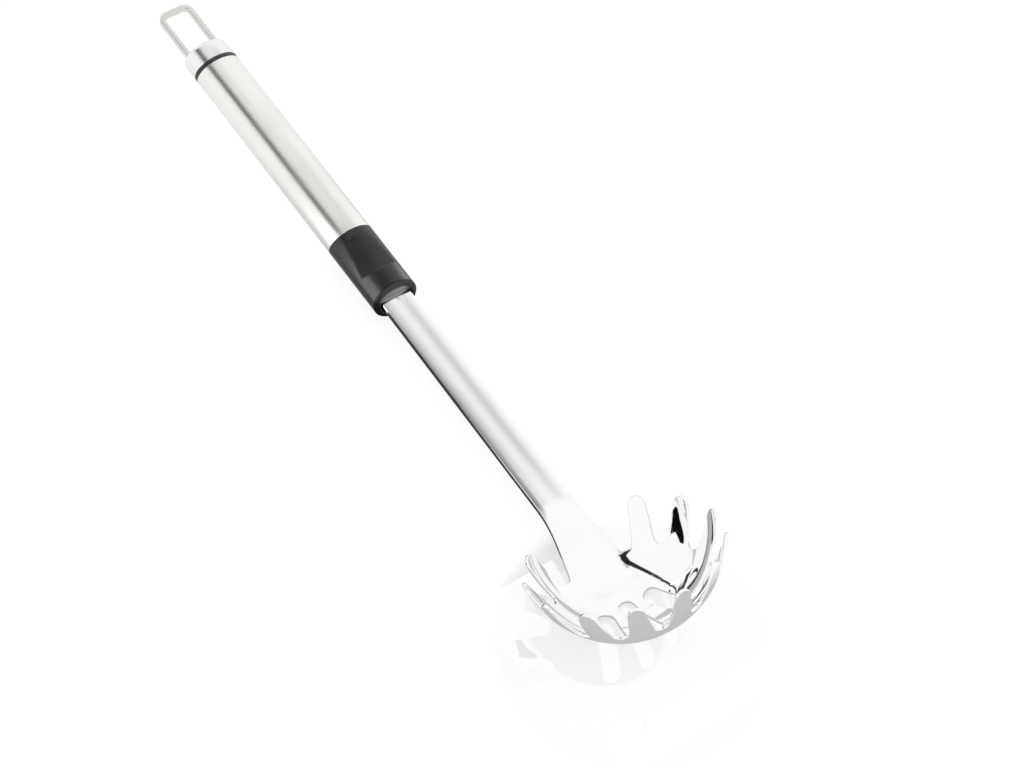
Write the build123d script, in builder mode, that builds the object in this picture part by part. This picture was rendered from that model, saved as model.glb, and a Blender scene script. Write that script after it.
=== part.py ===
from build123d import *
from math import asin, atan2, cos, degrees, hypot, radians, sin, sqrt
import os

# Pasta server, lying as it does on a table: the handle runs along X with the
# bowl at +X and the hanging loop at -X, and the bowl opens upwards (+Z).
# Origin: the middle of the footprint, at the height of the bowl's lowest point.

# Handle section, an oval
handle_width = 19.0
handle_thickness = 14.2
tube_wall = 0.8
fit_gap = 0.05
overrun = 1.0

# Lengths along the handle, from the loop towards the bowl
loop_reach = 23.2
cap_length = 9.2
ring_length = 1.9
tube_length = 93.5
collar_length = 31.9
mouth_to_bowl = 138.8

# Bowl, a part of a sphere of sheet steel, with teeth that bend a little less
bowl_radius = 37.4
sheet = 1.3
bowl_tilt = 33.7
axis_below_bowl_centre = 27.9
root_polar = 51.5
tooth_count = 11
tooth_pitch = 28.0
tooth_length = 18.5
tooth_bend_radius = 46.0
tooth_tip_width = 6.8
gap_root_radius = 3.1

# Gap between the neck and the tooth beside it
neck_gap_polar = 50.5
neck_gap_azimuth = 152.0
neck_gap_radius = 2.5

# Drain slots, as seen along the bowl's axis
slot_width = 6.0
middle_slot_length = 24.5
side_slot_length = 21.5
side_slot_turn = 15.0
side_slot_aside = 11.8
slot_shift = 0.7

# Stem between the collar and the neck
stem_width_at_collar = 12.6
stem_width_at_neck = 14.0
stem_thickness = 2.6
stem_crown_height = 1.9
stem_crown_rise = 1.1
neck_length = 29.0
neck_flare_angle = 14.5
neck_width_shares = ((0.36, 0.57), (0.68, 0.69))
neck_section_shares = (0.0, 0.2, 0.4, 0.6, 0.8)

# Tang inside the handle, behind the shoulder that stops on the core
tang_length = 38.0
tang_width = 8.6
tang_pin_diameter = 3.0
tang_pin_back = 12.0

# Collar
collar_wall = 2.3
collar_round = 1.4
spigot_length = 11.0
recess_length = 19.9
recess_depth = 1.9
recess_width = 15.6
recess_start = 0.6
recess_bow = 1.3
recess_edge_round = 0.8
mouth_slant = 18.0

# Plug round the stem in the collar's mouth
plug_setback = 1.6
plug_length = 11.2

# Core that fills the tube
core_wall = 2.0
core_floor = 12.0

# End cap and the anchor that holds it
cap_round = 2.8
anchor_in_tube = 16.0
anchor_boss_width = 8.6
anchor_boss_thickness = 7.2
anchor_boss_length = 6.0

# Hanging loop, a bent flat band
loop_width = 14.6
loop_band = 2.2
loop_depth = 2.6
loop_corner_radius = 4.2
loop_leg_in_cap = 7.4

# Worked out places
half_width = handle_width / 2
half_thickness = handle_thickness / 2
handle_length = loop_reach + cap_length + ring_length + tube_length + collar_length
overall_length = handle_length + mouth_to_bowl + bowl_radius
axis_height = bowl_radius - axis_below_bowl_centre

loop_end_x = -overall_length / 2
cap_top_x = loop_end_x + loop_reach
ring_rear_x = cap_top_x + cap_length
ring_front_x = ring_rear_x + ring_length
collar_rear_x = ring_front_x + tube_length
mouth_x = collar_rear_x + collar_length
bowl_x = mouth_x + mouth_to_bowl

tooth_sweep = degrees(tooth_length / tooth_bend_radius)
tip_polar = root_polar + tooth_sweep

bowl_inner = bowl_radius - sheet
bowl_middle = bowl_radius - sheet / 2
bowl_centre = Vector(bowl_x, 0, bowl_radius)
bowl_out = Vector(cos(radians(bowl_tilt)), 0, sin(radians(bowl_tilt)))
bowl_axis = Vector(-sin(radians(bowl_tilt)), 0, cos(radians(bowl_tilt)))
sideways = Vector(0, 1, 0)


def across(x):
    """Plane across the handle at x: sketch X is +Y, sketch Y is +Z from the handle's axis."""
    return Plane(origin=(x, 0, axis_height), x_dir=(0, 1, 0), z_dir=(1, 0, 0))


def round_about(azimuth):
    """Unit vector square to the bowl's axis, at an angle round it."""
    return bowl_out * cos(radians(azimuth)) + sideways * sin(radians(azimuth))


def bowl_direction(polar, azimuth):
    """Unit vector from the bowl's centre: polar 0 is its deepest point, azimuth 0 points off the handle."""
    return round_about(azimuth) * sin(radians(polar)) - bowl_axis * cos(radians(polar))


# The neck's sheet joins the bowl in a plane across the handle, where the neck gaps are deepest.
neck_root = bowl_centre + bowl_direction(neck_gap_polar, neck_gap_azimuth) * bowl_middle
neck_end_x = neck_root.X
neck_start_x = neck_end_x - neck_length
neck_half_width = neck_root.Y
neck_blank_half = neck_half_width + gap_root_radius
join_offset = bowl_x - neck_end_x


def bowl_height(radius, y):
    """Height above the handle's axis of a bowl surface of this radius, where the neck joins it."""
    return axis_below_bowl_centre - sqrt(radius**2 - join_offset**2 - y**2)


join_slope = -join_offset / sqrt(bowl_middle**2 - join_offset**2)
stem_half = stem_width_at_neck / 2
stem_curve = -stem_crown_rise / stem_half**2
join_curve = (bowl_height(bowl_inner, stem_half) - bowl_height(bowl_inner, 0)) / stem_half**2


def neck_band(share):
    """Crown height, curve across and thickness of the neck's sheet at a share of its length."""
    ease = share**2 * (3 - 2 * share)
    slope_part = (share**3 - share**2) * neck_length * join_slope
    crown = stem_crown_height + (bowl_height(bowl_inner, 0) - stem_crown_height) * ease + slope_part
    curve = stem_curve + (join_curve - stem_curve) * ease
    under_join = bowl_height(bowl_inner, 0) - bowl_height(bowl_radius, 0)
    thickness = stem_thickness + (under_join - stem_thickness) * ease
    return crown, curve, thickness


def arched_face(half, top_middle, top_edge, under_middle, under_edge):
    """A sheet seen end on, with an arched top and underside."""
    with BuildSketch() as face:
        with BuildLine():
            ThreePointArc((-half, top_edge), (0, top_middle), (half, top_edge))
            Line((half, top_edge), (half, under_edge))
            ThreePointArc((half, under_edge), (0, under_middle), (-half, under_edge))
            Line((-half, under_edge), (-half, top_edge))
        make_face()
    return face.sketch


def stem_face(width, grow):
    """The stem's arched section at a width, made larger all round by grow."""
    edge = stem_crown_height + stem_curve * neck_blank_half**2
    top = (stem_crown_height + grow, edge + grow)
    under = (stem_crown_height - stem_thickness - grow, edge - stem_thickness - grow)
    with BuildSketch() as face:
        add(arched_face(neck_blank_half, *top, *under))
        Rectangle(width + 2 * grow, handle_width, mode=Mode.INTERSECT)
    return face.sketch


# Bowl shell with its teeth and drain slots
bend_shift = tooth_bend_radius - bowl_radius
bend_centre = (-bend_shift * sin(radians(root_polar)), bend_shift * cos(radians(root_polar)))
tip_radius = bend_centre[0] + (tooth_bend_radius - sheet / 2) * sin(radians(tip_polar))
tip_drop = (tooth_bend_radius - sheet / 2) * cos(radians(tip_polar)) - bend_centre[1]
neck_gap_top = bowl_centre + round_about(neck_gap_azimuth) * tip_radius - bowl_axis * tip_drop


def gap_face(root_polar_here, root_radius, face_polar, tooth_aside):
    """A gap between two teeth: a round root, straight sides and half of each tooth's round tip."""
    root_low = bowl_middle * sin(radians(root_polar_here - face_polar))
    root_centre_y = root_low + root_radius
    tip_round = tooth_tip_width / 2
    tip_x = tip_radius * sin(radians(tooth_aside))
    tip_reach = tip_radius * cos(radians(tooth_aside))
    tip_y = tip_reach * cos(radians(face_polar)) - tip_drop * sin(radians(face_polar))
    tip_centre_y = tip_y - tip_round
    reach = hypot(tip_x, tip_centre_y - root_centre_y)
    side = degrees(atan2(tip_centre_y - root_centre_y, tip_x) + asin((root_radius + tip_round) / reach))
    with BuildSketch() as face:
        with BuildLine():
            root_arc = CenterArc((0, root_centre_y), root_radius, -90, side)
            tip_arc = CenterArc((tip_x, tip_centre_y), tip_round, 90, side)
            Line(root_arc @ 1, tip_arc @ 1)
            Line(tip_arc @ 0, (tip_x, tip_y + bowl_radius / 2))
            Line((tip_x, tip_y + bowl_radius / 2), (0, tip_y + bowl_radius / 2))
            mirror(about=Plane.YZ)
        make_face()
    return face.sketch


with BuildPart() as bowl_shell:
    with BuildSketch(Plane(origin=bowl_centre, x_dir=bowl_out, z_dir=(0, -1, 0))):
        with BuildLine():
            outer_arc = CenterArc((0, 0), bowl_radius, -90, root_polar)
            inner_arc = CenterArc((0, 0), bowl_inner, -90, root_polar)
            outer_bend = CenterArc(bend_centre, tooth_bend_radius, root_polar - 90, tooth_sweep)
            inner_bend = CenterArc(bend_centre, tooth_bend_radius - sheet, root_polar - 90, tooth_sweep)
            Line(outer_arc @ 0, inner_arc @ 0)
            Line(outer_bend @ 1, inner_bend @ 1)
        make_face()
    revolve(axis=Axis(bowl_centre, bowl_axis))

    # The window that the neck's sheet fills, as wide as the middles of the neck gaps
    with BuildSketch(Plane.XY.offset(-overrun)):
        with BuildLine():
            Polyline(
                (neck_end_x, 0),
                (neck_end_x, neck_half_width),
                (neck_gap_top.X, neck_gap_top.Y),
                (neck_end_x - bowl_radius, neck_gap_top.Y),
                (neck_end_x - bowl_radius, 0),
            )
            mirror(about=Plane.XZ)
        make_face()
    extrude(amount=bowl_radius + overrun, mode=Mode.SUBTRACT)

    # Ten gaps between the teeth, and one each side of the neck
    gap_face_polar = (root_polar + tip_polar) / 2
    gap_spots = [(index - (tooth_count - 2) / 2) * tooth_pitch for index in range(tooth_count - 1)]
    last_tooth = (tooth_count - 1) / 2 * tooth_pitch
    gaps = [(spot, root_polar, gap_root_radius, tooth_pitch / 2) for spot in gap_spots]
    neck_gap_aside = neck_gap_azimuth - last_tooth
    for hand in (-1, 1):
        gaps.append((hand * neck_gap_azimuth, neck_gap_polar, neck_gap_radius, neck_gap_aside))
    for azimuth, polar, radius, aside in gaps:
        outward = bowl_direction(gap_face_polar, azimuth)
        along = sideways * cos(radians(azimuth)) - bowl_out * sin(radians(azimuth))
        with BuildSketch(Plane(origin=bowl_centre, x_dir=along, z_dir=outward)):
            add(gap_face(polar, radius, gap_face_polar, aside))
        extrude(amount=tooth_bend_radius, mode=Mode.SUBTRACT)

    # Three drain slots, fanned away from the handle
    slots = ((0, middle_slot_length), (1, side_slot_length), (-1, side_slot_length))
    with BuildSketch(Plane(origin=bowl_centre, x_dir=bowl_out, z_dir=bowl_axis)):
        for hand, length in slots:
            with Locations((-slot_shift, hand * side_slot_aside)):
                SlotOverall(length, slot_width, rotation=hand * side_slot_turn)
    extrude(amount=-bowl_radius - overrun, mode=Mode.SUBTRACT)


# Plane below the handle and the height of what is cut from it
low_plane = Plane.XY.offset(axis_height - handle_thickness)
cut_height = handle_thickness + bowl_radius + overrun

neck_root_arc_x = neck_end_x - neck_gap_radius
shoulder_x = mouth_x - plug_setback - plug_length
tang_end_x = shoulder_x - tang_length
tang_pin_x = shoulder_x - tang_pin_back

# Bowl, neck, stem and tang: one stamped piece of stainless steel
with BuildPart() as server_head:
    # The neck's sheet, wider than it ends up, from the stem's arch to the bowl's hollow
    for share in neck_section_shares:
        crown, curve, thickness = neck_band(share)
        edge = crown + curve * neck_blank_half**2
        with BuildSketch(across(neck_start_x + share * neck_length)):
            add(arched_face(neck_blank_half, crown, edge, crown - thickness, edge - thickness))
    with BuildSketch(across(neck_end_x)):
        inner = (bowl_height(bowl_inner, 0), bowl_height(bowl_inner, neck_blank_half))
        outer = (bowl_height(bowl_radius, 0), bowl_height(bowl_radius, neck_blank_half))
        add(arched_face(neck_blank_half, *inner, *outer))
    loft()
    with BuildSketch(across(tang_end_x)):
        add(stem_face(2 * neck_blank_half, 0))
    extrude(amount=neck_start_x - tang_end_x)

    # Trimmed to its outline seen from above
    with BuildSketch(low_plane):
        with BuildLine():
            flare = radians(neck_flare_angle)
            turn = neck_flare_angle - 90
            root_arc = CenterArc((neck_root_arc_x, neck_half_width), neck_gap_radius, turn, -turn)
            waist = [(neck_start_x + x * neck_length, y * neck_half_width) for x, y in neck_width_shares]
            neck_edge = Spline(
                (neck_start_x, stem_half), *waist, root_arc @ 0, tangents=((1, 0), (cos(flare), sin(flare)))
            )
            Polyline(
                neck_edge @ 0,
                (mouth_x, stem_width_at_collar / 2),
                (shoulder_x, stem_width_at_collar / 2),
                (shoulder_x, tang_width / 2),
                (tang_end_x, tang_width / 2),
                (tang_end_x, 0),
            )
            Line(root_arc @ 1, (neck_end_x, 0))
            mirror(about=Plane.XZ)
        make_face()
    extrude(amount=cut_height, mode=Mode.INTERSECT)

    add(bowl_shell.part)
    with BuildSketch(low_plane):
        with Locations((tang_pin_x, 0)):
            Circle(tang_pin_diameter / 2 + fit_gap)
    extrude(amount=cut_height, mode=Mode.SUBTRACT)

# Cutter for the thumb recess: a slanted, slightly crowned floor that ends at a bowed step
recess_step_x = collar_rear_x + recess_length
recess_edge_height = half_thickness * sqrt(1 - (recess_width / handle_width) ** 2)
recess_crown = half_thickness - recess_depth - recess_edge_height
recess_radius = (recess_crown**2 + (recess_width / 2) ** 2) / (2 * recess_crown)
recess_run = recess_length - recess_start
recess_sky = half_thickness + 2 * overrun

with BuildPart() as thumb_recess:
    with BuildSketch(across(recess_step_x)):
        with Locations((0, recess_sky / 2)):
            Rectangle(handle_width + overrun, recess_sky)
        with Locations((0, half_thickness - recess_depth - recess_radius)):
            Circle(recess_radius, mode=Mode.SUBTRACT)
    extrude(amount=hypot(recess_run, recess_depth), dir=(-recess_run, 0, recess_depth))
    with BuildSketch(low_plane):
        with BuildLine():
            step_end_x = recess_step_x - recess_bow
            ThreePointArc((step_end_x, -half_width), (recess_step_x, 0), (step_end_x, half_width))
            Polyline(
                (step_end_x, half_width),
                (collar_rear_x, half_width),
                (collar_rear_x, -half_width),
                (step_end_x, -half_width),
            )
        make_face()
    extrude(amount=cut_height, mode=Mode.INTERSECT)

# Black grip between tube and stem, with its mouth cut on a slant
slant = radians(mouth_slant)
mouth_plane = Plane(origin=(mouth_x, 0, axis_height), x_dir=(0, 1, 0), z_dir=(cos(slant), 0, sin(slant)))


def recess_lip(place):
    """Whether a point lies on the upper edge of the recess's step."""
    across_handle = (place.Y / half_width) ** 2 + ((place.Z - axis_height) / half_thickness) ** 2
    on_skin = abs(across_handle - 1) < 0.02
    return on_skin and recess_step_x - recess_bow - overrun < place.X < recess_step_x + fit_gap


with BuildPart() as front_collar:
    with BuildSketch(across(collar_rear_x)):
        Ellipse(half_width, half_thickness)
    extrude(amount=collar_length + half_thickness)
    split(bisect_by=mouth_plane, keep=Keep.BOTTOM)
    fillet(front_collar.faces().sort_by(Axis.X)[-1].edges(), radius=collar_round)
    add(thumb_recess.part, mode=Mode.SUBTRACT)
    fillet(front_collar.edges().filter_by(lambda edge: recess_lip(edge.center())), radius=recess_edge_round)
    with BuildSketch(across(collar_rear_x)):
        Ellipse(half_width - tube_wall - fit_gap, half_thickness - tube_wall - fit_gap)
    extrude(amount=-spigot_length)
    with BuildSketch(across(collar_rear_x - spigot_length)):
        Ellipse(half_width - collar_wall, half_thickness - collar_wall)
    extrude(amount=collar_length + spigot_length + half_thickness, mode=Mode.SUBTRACT)

# Plug that closes the collar round the stem, with an upright face behind the slanted mouth
bore_gap = collar_wall + fit_gap
with BuildPart() as stem_plug:
    with BuildSketch(across(shoulder_x)):
        Ellipse(half_width - bore_gap, half_thickness - bore_gap)
        add(stem_face(stem_width_at_collar, fit_gap), mode=Mode.SUBTRACT)
    extrude(amount=plug_length)

# Core that carries the tang and fills the tube
core_front_x = collar_rear_x - spigot_length
core_rear_x = ring_front_x + anchor_in_tube
tube_gap = tube_wall + fit_gap
with BuildPart() as handle_core:
    with BuildSketch(across(core_front_x)):
        Ellipse(half_width - tube_gap, half_thickness - tube_gap)
    extrude(amount=core_rear_x - core_front_x)
    with BuildSketch(across(core_front_x)):
        Ellipse(half_width - bore_gap, half_thickness - bore_gap)
    extrude(amount=shoulder_x - core_front_x)
    with BuildSketch(across(core_rear_x)):
        Ellipse(half_width - tube_gap - core_wall, half_thickness - tube_gap - core_wall)
    extrude(amount=tang_end_x - core_floor - core_rear_x, mode=Mode.SUBTRACT)
    with BuildSketch(across(tang_end_x - fit_gap)):
        add(stem_face(tang_width, fit_gap))
    extrude(amount=tang_length + fit_gap, mode=Mode.SUBTRACT)
    with BuildSketch(low_plane):
        with Locations((tang_pin_x, 0)):
            Circle(tang_pin_diameter / 2 + fit_gap)
    extrude(amount=cut_height, mode=Mode.SUBTRACT)

# Cross pin that locks the tang in the core, inside the collar
tang_pin_half = half_thickness - collar_wall - 2 * fit_gap
with BuildPart() as tang_pin:
    with BuildSketch(Plane.XY.offset(axis_height - tang_pin_half)):
        with Locations((tang_pin_x, 0)):
            Circle(tang_pin_diameter / 2)
    extrude(amount=2 * tang_pin_half)

# Satin steel tube
with BuildPart() as handle_tube:
    with BuildSketch(across(ring_front_x)):
        Ellipse(half_width, half_thickness)
        Ellipse(half_width - tube_wall, half_thickness - tube_wall, mode=Mode.SUBTRACT)
    extrude(amount=tube_length)

# Black ring between tube and end cap
with BuildPart() as spacer_ring:
    with BuildSketch(across(ring_rear_x)):
        Ellipse(half_width, half_thickness)
        Ellipse(half_width - tube_wall, half_thickness - tube_wall, mode=Mode.SUBTRACT)
    extrude(amount=ring_length)

# Anchor pressed into the tube's end, with a boss that carries the cap
with BuildPart() as end_anchor:
    with BuildSketch(across(ring_rear_x)):
        Ellipse(half_width - tube_gap, half_thickness - tube_gap)
    extrude(amount=ring_length + anchor_in_tube)
    with BuildSketch(across(ring_rear_x)):
        Ellipse(anchor_boss_width / 2, anchor_boss_thickness / 2)
    extrude(amount=-anchor_boss_length)

# Steel end cap, holding the loop's two legs
leg_aside = (loop_width - loop_band) / 2
leg_end_x = cap_top_x + loop_leg_in_cap
with BuildPart() as end_cap:
    with BuildSketch(across(ring_rear_x)):
        Ellipse(half_width, half_thickness)
    extrude(amount=-cap_length)
    fillet(end_cap.faces().sort_by(Axis.X)[0].edges(), radius=cap_round)
    with BuildSketch(across(ring_rear_x)):
        Ellipse(anchor_boss_width / 2 + fit_gap, anchor_boss_thickness / 2 + fit_gap)
    extrude(amount=-anchor_boss_length - fit_gap, mode=Mode.SUBTRACT)
    with BuildSketch(across(leg_end_x)):
        with Locations((leg_aside, 0), (-leg_aside, 0)):
            Rectangle(loop_band + 2 * fit_gap, loop_depth + 2 * fit_gap)
    extrude(amount=-loop_leg_in_cap - overrun, mode=Mode.SUBTRACT)

# Hanging loop, a flat band bent to a U
loop_bend = loop_corner_radius - loop_band / 2
loop_centre_end_x = loop_end_x + loop_band / 2
with BuildPart() as hanging_loop:
    with BuildSketch(Plane.XY.offset(axis_height - loop_depth / 2)):
        with BuildLine():
            FilletPolyline(
                (leg_end_x, leg_aside),
                (loop_centre_end_x, leg_aside),
                (loop_centre_end_x, -leg_aside),
                (leg_end_x, -leg_aside),
                radius=loop_bend,
            )
        trace(line_width=loop_band)
    extrude(amount=loop_depth)

server_head.part.label = "server_head"
stem_plug.part.label = "stem_plug"
front_collar.part.label = "front_collar"
handle_core.part.label = "handle_core"
tang_pin.part.label = "tang_pin"
handle_tube.part.label = "handle_tube"
spacer_ring.part.label = "spacer_ring"
end_anchor.part.label = "end_anchor"
end_cap.part.label = "end_cap"
hanging_loop.part.label = "hanging_loop"

os.makedirs("parts", exist_ok=True)
export_step(server_head.part, "parts/server_head.step")
export_step(stem_plug.part, "parts/stem_plug.step")
export_step(front_collar.part, "parts/front_collar.step")
export_step(handle_core.part, "parts/handle_core.step")
export_step(tang_pin.part, "parts/tang_pin.step")
export_step(handle_tube.part, "parts/handle_tube.step")
export_step(spacer_ring.part, "parts/spacer_ring.step")
export_step(end_anchor.part, "parts/end_anchor.step")
export_step(end_cap.part, "parts/end_cap.step")
export_step(hanging_loop.part, "parts/hanging_loop.step")
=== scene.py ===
# %% [markdown]
# A pasta server lies on a glossy white table. It has a mirror-polished head, a satin steel
# tube for a handle, a black grip with a thumb recess and a bent steel loop to hang it by.
# The measured model of the object comes first. It is the frame that everything else is
# fitted to, so nothing here changes where a piece is or how large it is.

# %% Load the measured model
import math

import bmesh
import bpy
import numpy as np
from mathutils import Matrix, Vector
from mathutils.geometry import delaunay_2d_cdt


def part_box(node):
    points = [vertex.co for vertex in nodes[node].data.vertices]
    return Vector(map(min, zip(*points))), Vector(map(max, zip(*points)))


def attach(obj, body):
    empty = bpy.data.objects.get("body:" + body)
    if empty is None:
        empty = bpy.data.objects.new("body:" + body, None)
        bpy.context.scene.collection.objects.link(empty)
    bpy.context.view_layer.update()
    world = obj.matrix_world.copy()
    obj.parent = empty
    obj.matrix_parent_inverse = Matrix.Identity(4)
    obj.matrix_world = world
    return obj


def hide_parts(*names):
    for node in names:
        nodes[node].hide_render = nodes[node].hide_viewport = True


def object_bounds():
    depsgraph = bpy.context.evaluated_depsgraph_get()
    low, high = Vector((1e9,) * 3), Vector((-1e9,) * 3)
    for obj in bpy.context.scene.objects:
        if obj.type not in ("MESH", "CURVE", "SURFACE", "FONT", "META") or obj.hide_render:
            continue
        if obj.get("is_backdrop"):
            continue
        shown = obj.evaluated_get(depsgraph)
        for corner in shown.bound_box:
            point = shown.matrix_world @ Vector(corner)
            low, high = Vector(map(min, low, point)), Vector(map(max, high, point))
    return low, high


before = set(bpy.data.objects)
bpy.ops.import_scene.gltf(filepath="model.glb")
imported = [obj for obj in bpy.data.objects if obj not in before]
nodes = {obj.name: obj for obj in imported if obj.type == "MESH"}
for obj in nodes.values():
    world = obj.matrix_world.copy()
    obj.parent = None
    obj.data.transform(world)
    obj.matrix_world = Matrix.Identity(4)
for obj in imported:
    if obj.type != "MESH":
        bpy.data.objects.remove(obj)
cad_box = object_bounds()
print("nodes:", ", ".join(sorted(nodes)))

# %% [markdown]
# Sizes below are written in millimetres, as on a drawing, and scaled to metres in the last
# step of each piece. The places along the handle are read from the measured model: the
# black ring between tube and end cap gives the handle's axis and its oval section.

# %% Places along the handle
MM = 0.001


def box_mm(node):
    """Lowest and highest corner of a node, in millimetres."""
    low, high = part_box(node)
    return Vector(low) / MM, Vector(high) / MM


ring_low, ring_high = box_mm("spacer_ring")
tube_low, tube_high = box_mm("handle_tube")
cap_low, cap_high = box_mm("end_cap")
loop_low, loop_high = box_mm("hanging_loop")
collar_low = box_mm("front_collar")[0]
head_low, head_high = box_mm("server_head")

axis_height = (ring_low.z + ring_high.z) / 2
half_width = (ring_high.y - ring_low.y) / 2
half_thickness = (ring_high.z - ring_low.z) / 2
print(f"axis {axis_height:.2f} mm up, oval {2 * half_width:.1f} x {2 * half_thickness:.1f} mm")

# %% [markdown]
# The camera stands high and to one side, with a long lens, as product photographs are
# taken. It is aimed at a point on the table beyond the grip, and rolled a little so that
# the handle climbs to the upper left.

# %% Camera
LENS = 120.33
CAMERA_FROM_RING = Vector((684.5, -439.4, 1066.5))
# The camera's right, its up and its backward direction.
VIEW_AXES = (
    Vector((0.5662, 0.8202, 0.0821)),
    Vector((-0.7212, 0.4447, 0.5311)),
    Vector((0.3991, -0.3599, 0.8433)),
)
SEEN_FROM, SEEN_TO = 0.05, 50

ring_centre = Vector(((ring_low.x + ring_high.x) / 2, 0, axis_height))
camera = bpy.data.objects.new("camera", bpy.data.cameras.new("camera"))
bpy.context.scene.collection.objects.link(camera)
camera.data.lens = LENS
camera.data.clip_start = SEEN_FROM
camera.data.clip_end = SEEN_TO
stand = Matrix.Translation((ring_centre + CAMERA_FROM_RING) * MM)
camera.matrix_world = stand @ Matrix(VIEW_AXES).transposed().to_4x4()
bpy.context.scene.camera = camera
print("camera at", [round(v, 3) for v in camera.location])

# %% [markdown]
# The shader trees below are written with a few short helpers: one adds a node, one links
# two sockets, one gives an input a number or a link, and the others make the arithmetic and
# the grey ramps that come up again and again. With them a material reads as a short recipe.

# %% Helpers for shader trees
class Tree:
    """Short ways to add nodes to a shader tree and to link them."""

    def __init__(self, tree):
        self.tree = tree

    def add(self, kind, **settings):
        node = self.tree.nodes.new(kind)
        for key, value in settings.items():
            setattr(node, key, value)
        return node

    def join(self, source, target):
        self.tree.links.new(source, target)

    def feed(self, value, socket):
        """Gives an input a plain number, or links another node's output to it."""
        if isinstance(value, (int, float)):
            socket.default_value = value
        else:
            self.join(value, socket)

    def math(self, operation, *values):
        node = self.add("ShaderNodeMath", operation=operation)
        for index, value in enumerate(values):
            self.feed(value, node.inputs[index])
        return node.outputs[0]

    def ramp(self, source, stops):
        """A colour ramp over (place, grey level) stops."""
        node = self.add("ShaderNodeValToRGB")
        elements = node.color_ramp.elements
        while len(elements) < len(stops):
            elements.new(0.5)
        for element, (place, level) in zip(elements, stops):
            element.position = place
            element.color = (level, level, level, 1)
        self.join(source, node.inputs[0])
        return node.outputs[0]

    def span(self, source, low, high, to_low=0.0, to_high=1.0):
        """Maps a range to another, clamped."""
        node = self.add("ShaderNodeMapRange")
        ends = {"From Min": low, "From Max": high, "To Min": to_low, "To Max": to_high}
        for name, value in ends.items():
            node.inputs[name].default_value = value
        self.join(source, node.inputs["Value"])
        return node.outputs[0]

    def reach(self, point):
        """Distance of the shaded point from a point, in metres."""
        node = self.add("ShaderNodeVectorMath", operation="DISTANCE")
        self.join(self.add("ShaderNodeNewGeometry").outputs["Position"], node.inputs[0])
        node.inputs[1].default_value = point
        return node.outputs["Value"]


print("helpers:", ", ".join(name for name in vars(Tree) if not name.startswith("_")))

# %% [markdown]
# Polished steel has no colour of its own: it shows the studio. So the studio is the most
# important material here. It is a white tent, a little darker low down at the back. Three
# things are written into it as angles: the tent's brightness round the handle's length, the
# softly graded panels that only the stem faces, and a thin dark seam between two panels,
# which draws the black curve in the bowl. The camera sees plain white behind the object.

# %% World
# Angle round the handle from straight up towards +Y, in degrees, and the brightness there.
TENT = ((-180, 0.62), (-125, 0.80), (-108, 0.98), (-45, 1.0), (100, 1.0), (125, 0.80), (180, 0.62))
# A dark panel that ends sharply at -13 and clears up towards +14, and a soft grey one at 32.
STEM_PANELS = (
    (-13.5, 1.0),
    (-12.5, 0.18),
    (-6.5, 0.38),
    (-1, 0.6),
    (9, 0.84),
    (14, 0.89),
    (20, 0.86),
    (30, 0.67),
    (35, 0.66),
    (46, 0.91),
    (51, 1.0),
)
# Lean is how far a reflection points along the handle, from -1 towards the loop to 1 towards
# the bowl. The stem's point back a little, and there the panels fade in and out again.
PANELS_BEGIN = (-0.52, -0.42)
PANELS_END = (-0.38, 0.05)
# Lean, the seam's angle there and half its width, in degrees.
SEAM = (
    (-1.0, -70, 2.5),
    (-0.98, -63, 2.8),
    (-0.91, -44, 2.4),
    (-0.80, -34, 2.2),
    (-0.60, -26, 2.2),
    (-0.36, -19, 2.4),
    (-0.14, -13, 3.2),
    (-0.01, -12.5, 3.8),
    (0.025, -18.5, 8.5),
    (0.06, -14, 5.0),
    (0.10, -12, 3.0),
)
# The lean over which the seam ends, its soft edge in degrees, and its brightness.
SEAM_END = (0.06, 0.08)
SEAM_SOFT = 0.5
SEAM_LEVEL = 0.02
# A colour ramp holds only 0 to 1, so the seam's widths go in divided by this.
WIDEST_SEAM = 10.0


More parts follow.
